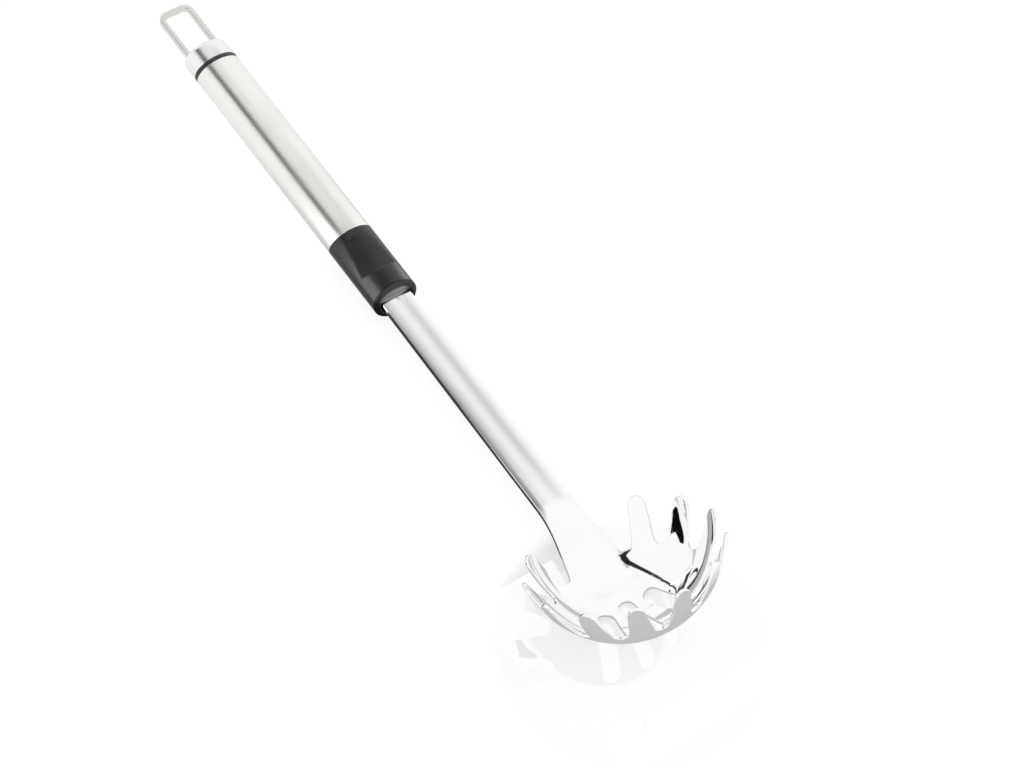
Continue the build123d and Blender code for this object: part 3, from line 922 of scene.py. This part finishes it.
def sheet_thickness(p, v):
    ease = eased(neck_share(formed(p, v)[:, 0]))
    return np.where(on_neck(p, v), STEM_THICKNESS + (SHEET - STEM_THICKNESS) * ease, SHEET)


def through_sheet(p, v, up):
    """The way through the sheet, from upright on the stem to square to it on the bowl."""
    ease = np.where(on_neck(p, v), eased(neck_share(formed(p, v)[:, 0])), 1.0)[:, None]
    way = up * ease + np.array((0, 0, 1)) * (1 - ease)
    return way / np.linalg.norm(way, axis=1)[:, None]


bowl_bottom, on_stem = formed(np.array((0.0, -100.0)), np.array((0.0, 0.0))).round(1)
print("middle of the bowl's bottom at", bowl_bottom, "mm, a point of the stem at", on_stem)


# %% [markdown]
# The blank's outline is a chain of the same few shapes: a gap between two teeth has a round
# root, straight sides and half a round tip on each side. Each gap is drawn square to the
# sheet at half the teeth's height and then laid onto it.

# %% Head: the blank's outline
SPACING = 0.8
ARC_STEPS = 10
LAYING_STEPS = 12
TANG_LENGTH = 38.0
TANG_HALF = 4.3
PLUG_DEPTH = 12.8
shoulder_x = head_low.x + TANG_LENGTH
face_polar = (ROOT_POLAR + tip_polar) / 2
tip_run = root_run + bend_radius * TOOTH_LENGTH / TOOTH_BEND
tip_radius, tip_drop = (float(value) for value in meridian(np.array(tip_run)))


def arc(centre, radius, start, end):
    """Points on an arc, from one angle to another in radians."""
    angles = np.linspace(start, end, ARC_STEPS + 1)
    return np.array(centre) + radius * np.stack((np.cos(angles), np.sin(angles)), axis=1)


def evenly(start, end):
    """Points on a straight line, without its first one, about one spacing apart."""
    steps = max(1, round(math.dist(start, end) / SPACING))
    return np.array(start) + (np.array(end) - start) * np.linspace(0, 1, steps + 1)[1:, None]


def half_gap(root_polar, root_round, aside):
    """Half of a gap's outline, from its root's lowest point to the top of a tooth."""
    root_y = middle_radius * math.sin(root_polar - face_polar) + root_round
    tip_x = tip_radius * math.sin(aside)
    tip_along = tip_radius * math.cos(aside)
    tip_y = tip_along * math.cos(face_polar) - tip_drop * math.sin(face_polar) - TIP_ROUND
    reach = math.hypot(tip_x, tip_y - root_y)
    side = math.atan2(tip_y - root_y, tip_x) + math.asin((root_round + TIP_ROUND) / reach)
    root = arc((0, root_y), root_round, -math.pi / 2, side - math.pi / 2)
    tip = arc((tip_x, tip_y), TIP_ROUND, side + math.pi / 2, math.pi / 2)
    return np.concatenate((root, evenly(root[-1], tip[0]), tip[1:]))


def laid_on_bowl(drawn, azimuth):
    """Places in the blank of a line drawn square to the sheet at this angle round the bowl."""
    x, y = drawn[:, 0], drawn[:, 1]
    depth = np.sqrt(middle_radius**2 - x**2 - y**2)
    for _ in range(LAYING_STEPS):
        along = y * math.cos(face_polar) + depth * math.sin(face_polar)
        drop = depth * math.cos(face_polar) - y * math.sin(face_polar)
        run, off = run_at(np.hypot(along, x), drop)
        depth = depth - off
    turn = azimuth + np.arctan2(x, along)
    return np.stack((run * np.cos(turn), run * np.sin(turn)), axis=1)


def smooth_curve(knots, start_slope, end_slope):
    """Points on a smooth curve y(x) through the knots, with its slope given at both ends."""
    x, y = np.array(knots).T
    slope = np.gradient(y, x)
    slope[0], slope[-1] = start_slope, end_slope
    places = np.linspace(x[0], x[-1], 1 + round((x[-1] - x[0]) / SPACING))
    index = np.clip(np.searchsorted(x, places, side="right") - 1, 0, len(x) - 2)
    width = x[index + 1] - x[index]
    t = (places - x[index]) / width
    ease = t * t * (3 - 2 * t)
    bend = width * (t * (1 - t) ** 2 * slope[index] - t * t * (1 - t) * slope[index + 1])
    return np.stack((places, y[index] + (y[index + 1] - y[index]) * ease + bend), axis=1)


def neck_edge():
    """The outline from the neck gap's root to the tang's end, drawn from above."""
    root = arc((join_x - NECK_GAP_ROUND, join_half), NECK_GAP_ROUND, 0, NECK_FLARE - math.pi / 2)
    waist = [(neck_start + x * NECK_LENGTH, y * join_half) for x, y in NECK_WIDTH_SHARES]
    neck = smooth_curve([(neck_start, STEM_HALF_AT_NECK), *waist, root[-1]], 0, math.tan(NECK_FLARE))
    corners = [
        (neck_start, STEM_HALF_AT_NECK),
        (shoulder_x + PLUG_DEPTH, STEM_HALF_AT_GRIP),
        (shoulder_x, STEM_HALF_AT_GRIP),
        (shoulder_x, TANG_HALF),
        (head_low.x, TANG_HALF),
        (head_low.x, 0),
    ]
    stem = [evenly(start, end) for start, end in zip(corners, corners[1:])]
    plan = np.concatenate((root, neck[::-1][1:], *stem))
    v = np.interp(plan[:, 1], join_y, join_v)
    return np.stack((np.interp(v, join_v, join_p) - join_x + plan[:, 0], v), axis=1)


def half_outline():
    """One half of the blank's outline, from the middle tooth's tip round to the tang's end."""
    gap = half_gap(ROOT_POLAR, GAP_ROUND, math.radians(TOOTH_PITCH / 2))
    whole_gap = np.concatenate((gap[:0:-1] * (-1, 1), gap))
    middles = [math.radians((index + 0.5) * TOOTH_PITCH) for index in range(GAPS_EACH_SIDE)]
    chain = [laid_on_bowl(whole_gap, middle)[:-1] for middle in middles]
    aside = math.radians(NECK_GAP - GAPS_EACH_SIDE * TOOTH_PITCH)
    neck_gap = half_gap(NECK_GAP_POLAR, NECK_GAP_ROUND, aside)
    chain.append(laid_on_bowl(neck_gap[:0:-1] * (-1, 1), math.radians(NECK_GAP)))
    chain.append(neck_edge())
    return np.concatenate(chain)


half = half_outline()
outline = np.concatenate((half, half[-2:0:-1] * (1, -1)))
print("outline points:", len(outline))

# %% [markdown]
# Three drain slots are punched through the bowl's bottom, and one small hole through the
# tang, for the pin that holds it in the handle. On the real head they are punched with the
# outline, so they are rings in the same blank. The slots are seen along the bowl's axis.

# %% Head: drain slots and pin hole in the blank
SLOT_HALF = 3.0
# Each slot's place to the side, its length, and its turn in degrees.
SLOTS = ((0, 24.5, 0), (11.8, 21.5, 15), (-11.8, 21.5, -15))
SLOT_SHIFT = 0.7
# The pin's hole lies this far back from the tang's shoulder.
PIN_HOLE_RADIUS = 1.55
PIN_BACK = 12.0


def slot_outline(aside, length, turn):
    """A slot seen along the bowl's axis, laid into the blank."""
    straight, quarter = length / 2 - SLOT_HALF, math.pi / 2
    front = arc((straight, 0), SLOT_HALF, -quarter, quarter)
    back = arc((-straight, 0), SLOT_HALF, quarter, 3 * quarter)
    sides = evenly(front[-1], back[0])[:-1], evenly(back[-1], front[0])[:-1]
    ring = np.concatenate((front, sides[0], back, sides[1]))
    turned = math.radians(turn)
    x = ring[:, 0] * math.cos(turned) - ring[:, 1] * math.sin(turned) - SLOT_SHIFT
    y = ring[:, 0] * math.sin(turned) + ring[:, 1] * math.cos(turned) + aside
    radius = np.hypot(x, y)
    run = middle_radius * np.arcsin(radius / middle_radius)
    return np.stack((run * x / radius, run * y / radius), axis=1)


pin_place = (np.interp(0, join_v, join_p) - join_x + shoulder_x - PIN_BACK, 0)
pin_arcs = [arc(pin_place, PIN_HOLE_RADIUS, start, start + math.pi) for start in (0, math.pi)]
pin_hole = np.concatenate([half_ring[:-1] for half_ring in pin_arcs])
holes = [slot_outline(*slot) for slot in SLOTS] + [pin_hole]
print("holes:", len(SLOTS), "drain slots and one pin hole")

# %% [markdown]
# A mirror shows every facet, so the sheet needs an even net of small triangles. A grid of
# points is laid over the blank, those too near an edge or inside a hole are left out, and
# a Delaunay triangulation joins them with the outline and the rings of the holes.

# %% Head: fill the blank with even triangles
EDGE_CLEARANCE = 0.55
FILL_TOLERANCE = 1e-5


def inside(points, ring):
    """Which points lie inside a closed ring."""
    count = np.zeros(len(points), int)
    for start, end in zip(ring, np.roll(ring, -1, axis=0)):
        crosses = (points[:, 1] < start[1]) != (points[:, 1] < end[1])
        if crosses.any():
            lean = (end[0] - start[0]) / (end[1] - start[1] + NEVER_ZERO)
            count += crosses & (points[:, 0] < start[0] + (points[:, 1] - start[1]) * lean)
    return count % 2 == 1


def clearance(points, ring):
    """Distance of each point from the nearest stretch of a closed ring."""
    nearest = np.full(len(points), np.inf)
    for start, end in zip(ring, np.roll(ring, -1, axis=0)):
        way = end - start
        share = np.clip((points - start) @ way / (way @ way), 0, 1)
        nearest = np.minimum(nearest, np.hypot(*(points - start - share[:, None] * way).T))
    return nearest


def filled_blank():
    """Vertices and triangles of the flat blank, with the holes left open."""
    low, high = outline.min(axis=0), outline.max(axis=0)
    row_gap = SPACING * math.sqrt(3) / 2
    rows = range(math.floor(low[1] / row_gap), math.ceil(high[1] / row_gap) + 1)
    across = np.arange(low[0], high[0], SPACING)
    grid = [(across + SPACING / 2 * (row % 2), np.full_like(across, row * row_gap)) for row in rows]
    points = np.concatenate([np.stack(row, axis=1) for row in grid])
    points = points[inside(points, outline)]
    for ring in (outline, *holes):
        points = points[clearance(points, ring) > EDGE_CLEARANCE]
    for ring in holes:
        points = points[~inside(points, ring)]
    rings, edges, start = [outline, *holes], [], 0
    for ring in rings:
        edges += [(start + i, start + (i + 1) % len(ring)) for i in range(len(ring))]
        start += len(ring)
    everything = np.concatenate((*rings, points))
    filled = delaunay_2d_cdt([Vector(p) for p in everything], edges, [], 0, FILL_TOLERANCE)
    places, faces = np.array(filled[0]), np.array(filled[2])
    middle = places[faces].mean(axis=1)
    keep = inside(middle, outline)
    for ring in holes:
        keep &= ~inside(middle, ring)
    return places, faces[keep]


flat, triangles = filled_blank()
print("blank:", len(flat), "points,", len(triangles), "triangles")

# %% [markdown]
# Now the blank gets its thickness and its tumbled rim while it is still flat, where both
# are easy. Every edge that is rounded from here on is bevelled by the same short helper.

# %% Head: extrude the blank and round its rim
RIM_ROUND = 0.3
RIM_STEPS = 3
# An edge is the rim's where its two faces turn by more than this, in radians.
RIM_TURN = 1


def corners_of(made):
    """The vertices among what an operator made."""
    return [item for item in made if isinstance(item, bmesh.types.BMVert)]


def rounded(bm, geom, size, steps, affect="EDGES"):
    """Bevels edges, or corners, to a round of this size."""
    form = {"offset_type": "OFFSET", "profile": 0.5, "material": -1}
    bmesh.ops.bevel(bm, geom=geom, offset=size, segments=steps, affect=affect, **form)


def thick_blank():
    bm = bmesh.new()
    verts = [bm.verts.new((x, y, 0)) for x, y in flat]
    for a, b, c in triangles:
        bm.faces.new((verts[a], verts[b], verts[c]))
    grown = bmesh.ops.extrude_face_region(bm, geom=bm.faces[:])["geom"]
    bmesh.ops.translate(bm, vec=(0, 0, SHEET), verts=corners_of(grown))
    bmesh.ops.recalc_face_normals(bm, faces=bm.faces[:])
    paired = [edge for edge in bm.edges if len(edge.link_faces) == 2]
    rim = [edge for edge in paired if edge.calc_face_angle() > RIM_TURN]
    level = [edge for edge in rim if abs(edge.verts[0].co.z - edge.verts[1].co.z) < SHEET / 2]
    rounded(bm, level, RIM_ROUND, RIM_STEPS)
    bm.normal_update()
    return bm


blank = thick_blank()
print("blank with rounded rim:", len(blank.faces), "faces")

# %% [markdown]
# Then each point is moved to its place on the formed sheet. Its normal is worked out from
# the same formula and given to the mesh, so that the mirror is as smooth as a polished one.

# %% Head: form it
FORMING_STEP = 1e-3


def pressed_sheet(place, normal):
    """Where the blank's points go, and their normals there."""
    p, v, w = place.T
    step = FORMING_STEP
    along = (formed(p + step, v) - formed(p - step, v)) / (2 * step)
    across = (formed(p, v + step) - formed(p, v - step)) / (2 * step)
    up = np.cross(along, across)
    up /= np.linalg.norm(up, axis=1)[:, None]
    through = through_sheet(p, v, up)
    shaped = formed(p, v) + through * ((w / SHEET - 0.5) * sheet_thickness(p, v))[:, None]
    on_face = (w < HAIR) | (w > SHEET - HAIR)
    square = np.stack((w * 0, w * 0, np.sign(w - SHEET / 2)), axis=1)
    normal = np.where(on_face[:, None], square, normal)
    along /= np.linalg.norm(along, axis=1)[:, None]
    across = np.cross(through, along)
    turned = normal[:, :1] * along + normal[:, 1:2] * across + normal[:, 2:] * up
    return shaped, turned / np.linalg.norm(turned, axis=1)[:, None]


def link(bm, name):
    """Writes a bmesh, in millimetres, to a new object in metres."""
    bmesh.ops.scale(bm, vec=(MM, MM, MM), verts=bm.verts[:])
    mesh = bpy.data.meshes.new(name)
    bm.to_mesh(mesh)
    bm.free()
    mesh.shade_smooth()
    piece = bpy.data.objects.new(name, mesh)
    bpy.context.scene.collection.objects.link(piece)
    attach(piece, "root")
    return piece


def build_head(bm):
    place = np.array([vert.co for vert in bm.verts])
    normal = np.array([vert.normal for vert in bm.verts])
    shaped, turned = pressed_sheet(place, normal)
    for vert, point in zip(bm.verts, shaped):
        vert.co = point
    piece = link(bm, "polished_head")
    piece.data.normals_split_custom_set_from_vertices(turned.tolist())
    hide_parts("server_head")
    piece.data.materials.append(finishes["polished_steel"])
    return piece


head = build_head(blank)
print("head:", len(head.data.polygons), "faces")

# %% [markdown]
# Tube, ring and grip are round sleeves squeezed to an oval. A profile is spun about the
# handle's axis and its sharp edges are rounded while it is round. It is flattened after that.

# %% Spinning a sleeve
MERGE_DISTANCE = 1e-4
TOUCH = 1e-3


def on_ring(vert, x, radius):
    """Whether a vertex lies at x and at this distance from the handle's axis."""
    return abs(vert.co.x - x) < TOUCH and abs(math.hypot(vert.co.y, vert.co.z) - radius) < TOUCH


def spun_sleeve(profile, steps, rounds):
    """A round sleeve with a closed profile of (x, radius) points, some of them rounded off."""
    bm = bmesh.new()
    verts = [bm.verts.new((x, 0, radius)) for x, radius in profile]
    edges = [bm.edges.new((verts[i], verts[(i + 1) % len(verts)])) for i in range(len(verts))]
    about = {"cent": (0, 0, 0), "axis": (1, 0, 0), "dvec": (0, 0, 0), "angle": math.tau}
    bmesh.ops.spin(bm, geom=verts + edges, **about, steps=steps, use_merge=True)
    bmesh.ops.remove_doubles(bm, verts=bm.verts[:], dist=MERGE_DISTANCE)
    bmesh.ops.recalc_face_normals(bm, faces=bm.faces[:])
    for x, radius, size, count in rounds:
        ring = [edge for edge in bm.edges if all(on_ring(vert, x, radius) for vert in edge.verts)]
        rounded(bm, ring, size, count)
    return bm


print("helper: spun_sleeve")

# %% [markdown]
# The tube is drawn steel with a thin wall, the ring a moulded washer of the same oval. Both
# have a square profile whose outer edges are only just broken.

# %% Tube and ring
SPIN_STEPS = 96
TUBE_WALL = 0.8
TUBE_EDGE_ROUND = 0.15
RING_EDGE_ROUND = 0.12
EDGE_STEPS = 3
SHARP_ANGLE = math.radians(40)


def oval_sleeve(name, low, high, edge_round):
    outer, inner = half_width, half_width - TUBE_WALL
    profile = [(low, outer), (high, outer), (high, inner), (low, inner)]
    rounds = [(x, outer, edge_round, EDGE_STEPS) for x in (low, high)]
    bm = spun_sleeve(profile, SPIN_STEPS, rounds)
    bmesh.ops.scale(bm, vec=(1, 1, half_thickness / half_width), verts=bm.verts[:])
    bmesh.ops.translate(bm, vec=(0, 0, axis_height), verts=bm.verts[:])
    piece = link(bm, name)
    piece.data.set_sharp_from_angle(angle=SHARP_ANGLE)
    return piece


def build_tube():
    piece = oval_sleeve("satin_tube", tube_low.x, tube_high.x, TUBE_EDGE_ROUND)
    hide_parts("handle_tube")
    piece.data.materials.append(finishes["satin_steel"])


def build_ring():
    piece = oval_sleeve("black_ring", ring_low.x, ring_high.x, RING_EDGE_ROUND)
    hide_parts("spacer_ring")
    piece.data.materials.append(finishes["ring_plastic"])


build_tube()
build_ring()
print(f"tube {tube_high.x - tube_low.x:.1f} mm long, ring {ring_high.x - ring_low.x:.1f} mm")

# %% [markdown]
# The grip is moulded over a core pin. Here it is spun as a round sleeve with a spigot at
# its rear end, its edges are rounded, and then it is formed like clay: squeezed to the
# oval with an even wall, its mouth cut on a slant, and the thumb recess pressed into its
# top. The recess falls gently towards the front and ends at a crisp bowed step, while its
# sides run out softly into the oval.

# %% Grip: sizes and sleeve
GRIP_WALL = 2.3
SPIGOT_LENGTH = 11.0
SPIGOT_SINK = 0.85
MOUTH_ROUND = 1.4
MOUTH_SLANT = math.tan(math.radians(18))
RECESS_LENGTH = 19.9
RECESS_DEPTH = 1.9
RECESS_WIDTH = 15.6
RECESS_START = 0.6
RECESS_BOW = 1.3
# At its rear end the recess's floor is raised by this much, over this length.
REAR_RISE, REAR_RUN = 0.6, 5
SIDE_BLEND = 0.45
STEP_ROUND = 0.8

grip_rear = collar_low.x + SPIGOT_LENGTH
grip_step = grip_rear + RECESS_LENGTH
grip_mouth = shoulder_x + PLUG_DEPTH
recess_edge = half_thickness * math.sqrt(1 - (RECESS_WIDTH / 2 / half_width) ** 2)
recess_crown = half_thickness - RECESS_DEPTH - recess_edge
recess_radius = (recess_crown**2 + (RECESS_WIDTH / 2) ** 2) / (2 * recess_crown)
print(f"grip from {grip_rear:.1f} to {grip_mouth:.1f} mm, recess radius {recess_radius:.1f} mm")


# The step needs its points close together at its foot, where it is steep.
STEP_SHARES = (-0.1, 0, 0.01, 0.04, 0.1, 0.2, 0.35, 0.55, 0.8, 1)
BEFORE_STEP, AFTER_STEP = 0.3, 1.6
RECESS_STATIONS, FRONT_STATIONS, BORE_STATIONS = 40, 14, 24


def grip_profile():
    """The sleeve's section as (x, radius) points, with close stations where the recess is."""
    recess = np.linspace(grip_rear, grip_step - BEFORE_STEP, RECESS_STATIONS)
    step = [grip_step + STEP_ROUND * share for share in STEP_SHARES]
    front = np.linspace(grip_step + AFTER_STEP, grip_mouth, FRONT_STATIONS)
    bore = np.linspace(grip_mouth, collar_low.x, BORE_STATIONS)
    profile = [(float(x), half_width) for x in (*recess, *step, *front)]
    profile += [(float(x), half_width - GRIP_WALL) for x in bore]
    spigot = half_width - SPIGOT_SINK
    return profile + [(collar_low.x, spigot), (grip_rear, spigot)]


print("grip profile:", len(grip_profile()), "points")

# %% [markdown]
# The recess is a shallow trough that a thumb finds. It is pressed in by giving each point of
# the top the lower of two heights, the oval's and the trough's, with a soft blend between
# them at the sides and a quarter round at the step.

# %% Grip: forming
def pressed(x, y, z):
    """Height of the grip's top, with the thumb recess pressed in as far as the step."""
    fall = (grip_step - x) / (RECESS_LENGTH - RECESS_START)
    floor_height = half_thickness - RECESS_DEPTH + RECESS_DEPTH * fall
    floor_height -= recess_radius - np.sqrt(recess_radius**2 - y**2)
    floor_height += REAR_RISE * np.clip(1 - (x - grip_rear) / REAR_RUN, 0, 1)
    share = np.clip(0.5 + 0.5 * (floor_height - z) / SIDE_BLEND, 0, 1)
    low = floor_height + (z - floor_height) * share - SIDE_BLEND * share * (1 - share)
    climb = np.clip((x - grip_step) / STEP_ROUND, 0, 1)
    back = np.sqrt(1 - (1 - climb) ** 2)
    return np.minimum(low, z) * (1 - back) + z * back


def form_grip(place, outer):
    """Moves points of the round sleeve to where they are on the grip, about the handle's axis."""
    x, y0, z0 = place.T
    radius, turn = np.hypot(y0, z0), np.arctan2(y0, z0)
    wall = half_width - radius
    y = (half_width - wall) * np.sin(turn)
    z = (half_thickness - wall) * np.cos(turn)
    z = np.where(outer & (z > 0) & (x >= grip_rear - HAIR), pressed(x, y, z), z)
    front = np.clip((x - grip_step) / (grip_mouth - grip_step), 0, 1)
    rear = np.clip((x - grip_rear) / (grip_step - grip_rear), 0, 1)
    bow = RECESS_BOW * (y / half_width) ** 2 * np.minimum(rear, 1 - front)
    return np.stack((x - bow - front * z * MOUTH_SLANT, y, z + axis_height), axis=1)


print("grip forming ready")

# %% [markdown]
# The mouth's outer edge is generously rounded, as a thumb passes over it, and the edges
# that meet the tube and the bore are only broken.

# %% Grip: build
GRIP_SPIN_STEPS = 144
GRIP_SHARP_ANGLE = math.radians(50)
# Points this near to the outside are on the grip's outer face.
SKIN = 0.2
# Place along the handle, radius, size and steps of each rounded edge.
GRIP_ROUNDS = (
    (grip_mouth, half_width, MOUTH_ROUND, 8),
    (grip_mouth, half_width - GRIP_WALL, 0.3, 3),
    (grip_rear, half_width, 0.12, 2),
)


def build_grip():
    bm = spun_sleeve(grip_profile(), GRIP_SPIN_STEPS, GRIP_ROUNDS)
    place = np.array([vert.co for vert in bm.verts])
    outer = np.hypot(place[:, 1], place[:, 2]) > half_width - SKIN
    for vert, point in zip(bm.verts, form_grip(place, outer)):
        vert.co = point
    piece = link(bm, "thumb_grip")
    piece.data.set_sharp_from_angle(angle=GRIP_SHARP_ANGLE)
    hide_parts("front_collar")
    piece.data.materials.append(finishes["black_plastic"])
    return piece


grip = build_grip()
print("grip:", len(grip.data.polygons), "faces")

# %% [markdown]
# The cap closes the tube's end. It is a short oval block with a generously rounded end,
# and the loop's two legs go into it.

# %% End cap
CAP_ROUND = 2.8
CAP_ROUND_STEPS = 10
CAP_SEAM_ROUND = 0.15
# Turns what is drawn flat so that it faces along the handle.
ACROSS_HANDLE = Matrix.Rotation(math.radians(-90), 4, "Y")


def build_cap():
    bm = bmesh.new()
    turn = Matrix.Translation((cap_high.x, 0, axis_height)) @ ACROSS_HANDLE
    oval = bmesh.ops.create_circle(bm, cap_ends=True, segments=SPIN_STEPS, radius=1)
    bmesh.ops.scale(bm, vec=(half_thickness, half_width, 1), verts=oval["verts"])
    bmesh.ops.transform(bm, matrix=turn, verts=oval["verts"])
    grown = bmesh.ops.extrude_face_region(bm, geom=bm.faces[:])["geom"]
    bmesh.ops.translate(bm, vec=(cap_low.x - cap_high.x, 0, 0), verts=corners_of(grown))
    bmesh.ops.recalc_face_normals(bm, faces=bm.faces[:])
    for place, size, steps in (
        (cap_low.x, CAP_ROUND, CAP_ROUND_STEPS),
        (cap_high.x, CAP_SEAM_ROUND, EDGE_STEPS),
    ):
        ring = [edge for edge in bm.edges if all(abs(vert.co.x - place) < TOUCH for vert in edge.verts)]
        rounded(bm, ring, size, steps)
    piece = link(bm, "rounded_cap")
    piece.data.set_sharp_from_angle(angle=SHARP_ANGLE)
    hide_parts("end_cap")
    piece.data.materials.append(finishes["cap_steel"])


build_cap()
print(f"cap {cap_high.x - cap_low.x:.1f} mm long")

# %% [markdown]
# The loop is a flat steel band bent to a U. Its rounded section is drawn once and led
# along the path: straight, round a corner, across, round the next corner and back.

# %% Hanging loop
LOOP_BAND = 2.2
LOOP_CORNER = 4.2
LOOP_EDGE_ROUND = 0.45
CORNER_STEPS = 12


def led_straight(bm, edges, run):
    """Leads the section's edges along a straight run, and gives the edges at its end."""
    made = bmesh.ops.extrude_edge_only(bm, edges=edges)["geom"]
    bmesh.ops.translate(bm, vec=run, verts=corners_of(made))
    return [item for item in made if isinstance(item, bmesh.types.BMEdge)]


def led_round(bm, edges, centre):
    """Leads them round a quarter of a circle."""
    about = {"cent": (*centre, axis_height), "axis": (0, 0, 1), "dvec": (0, 0, 0), "angle": math.pi / 2}
    made = bmesh.ops.spin(bm, geom=edges, **about, steps=CORNER_STEPS)["geom_last"]
    return [item for item in made if isinstance(item, bmesh.types.BMEdge)]


def build_loop():
    depth = loop_high.z - loop_low.z
    aside = loop_high.y - LOOP_BAND / 2
    bend = LOOP_CORNER - LOOP_BAND / 2
    bend_x = loop_low.x + LOOP_CORNER
    bm = bmesh.new()
    square = bmesh.ops.create_grid(bm, x_segments=1, y_segments=1, size=0.5)
    bmesh.ops.scale(bm, vec=(depth, LOOP_BAND, 1), verts=square["verts"])
    rounded(bm, bm.verts[:], LOOP_EDGE_ROUND, EDGE_STEPS, affect="VERTICES")
    turn = Matrix.Translation((loop_high.x, aside, axis_height)) @ ACROSS_HANDLE
    bmesh.ops.transform(bm, matrix=turn, verts=bm.verts[:])
    bmesh.ops.delete(bm, geom=bm.faces[:], context="FACES_ONLY")
    edges = led_straight(bm, bm.edges[:], (bend_x - loop_high.x, 0, 0))
    edges = led_round(bm, edges, (bend_x, aside - bend))
    edges = led_straight(bm, edges, (0, -2 * (aside - bend), 0))
    edges = led_round(bm, edges, (bend_x, bend - aside))
    led_straight(bm, edges, (loop_high.x - bend_x, 0, 0))
    bmesh.ops.remove_doubles(bm, verts=bm.verts[:], dist=MERGE_DISTANCE)
    bmesh.ops.holes_fill(bm, edges=[edge for edge in bm.edges if edge.is_boundary])
    bmesh.ops.recalc_face_normals(bm, faces=bm.faces[:])
    piece = link(bm, "steel_loop")
    piece.data.set_sharp_from_angle(angle=SHARP_ANGLE)
    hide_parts("hanging_loop")
    piece.data.materials.append(finishes["loop_steel"])


build_loop()
print(f"loop reaches {loop_high.x - loop_low.x:.1f} mm, band {LOOP_BAND} mm")

# %% [markdown]
# Last, the size of what is shown is set beside the size of the measured model. The two must
# agree, because the pieces made here only replace the plainer ones in the same place.

visual_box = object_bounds()
for title, box in (("measured", cad_box), ("shown", visual_box)):
    print(title, [[round(x, 5) for x in corner] for corner in box])
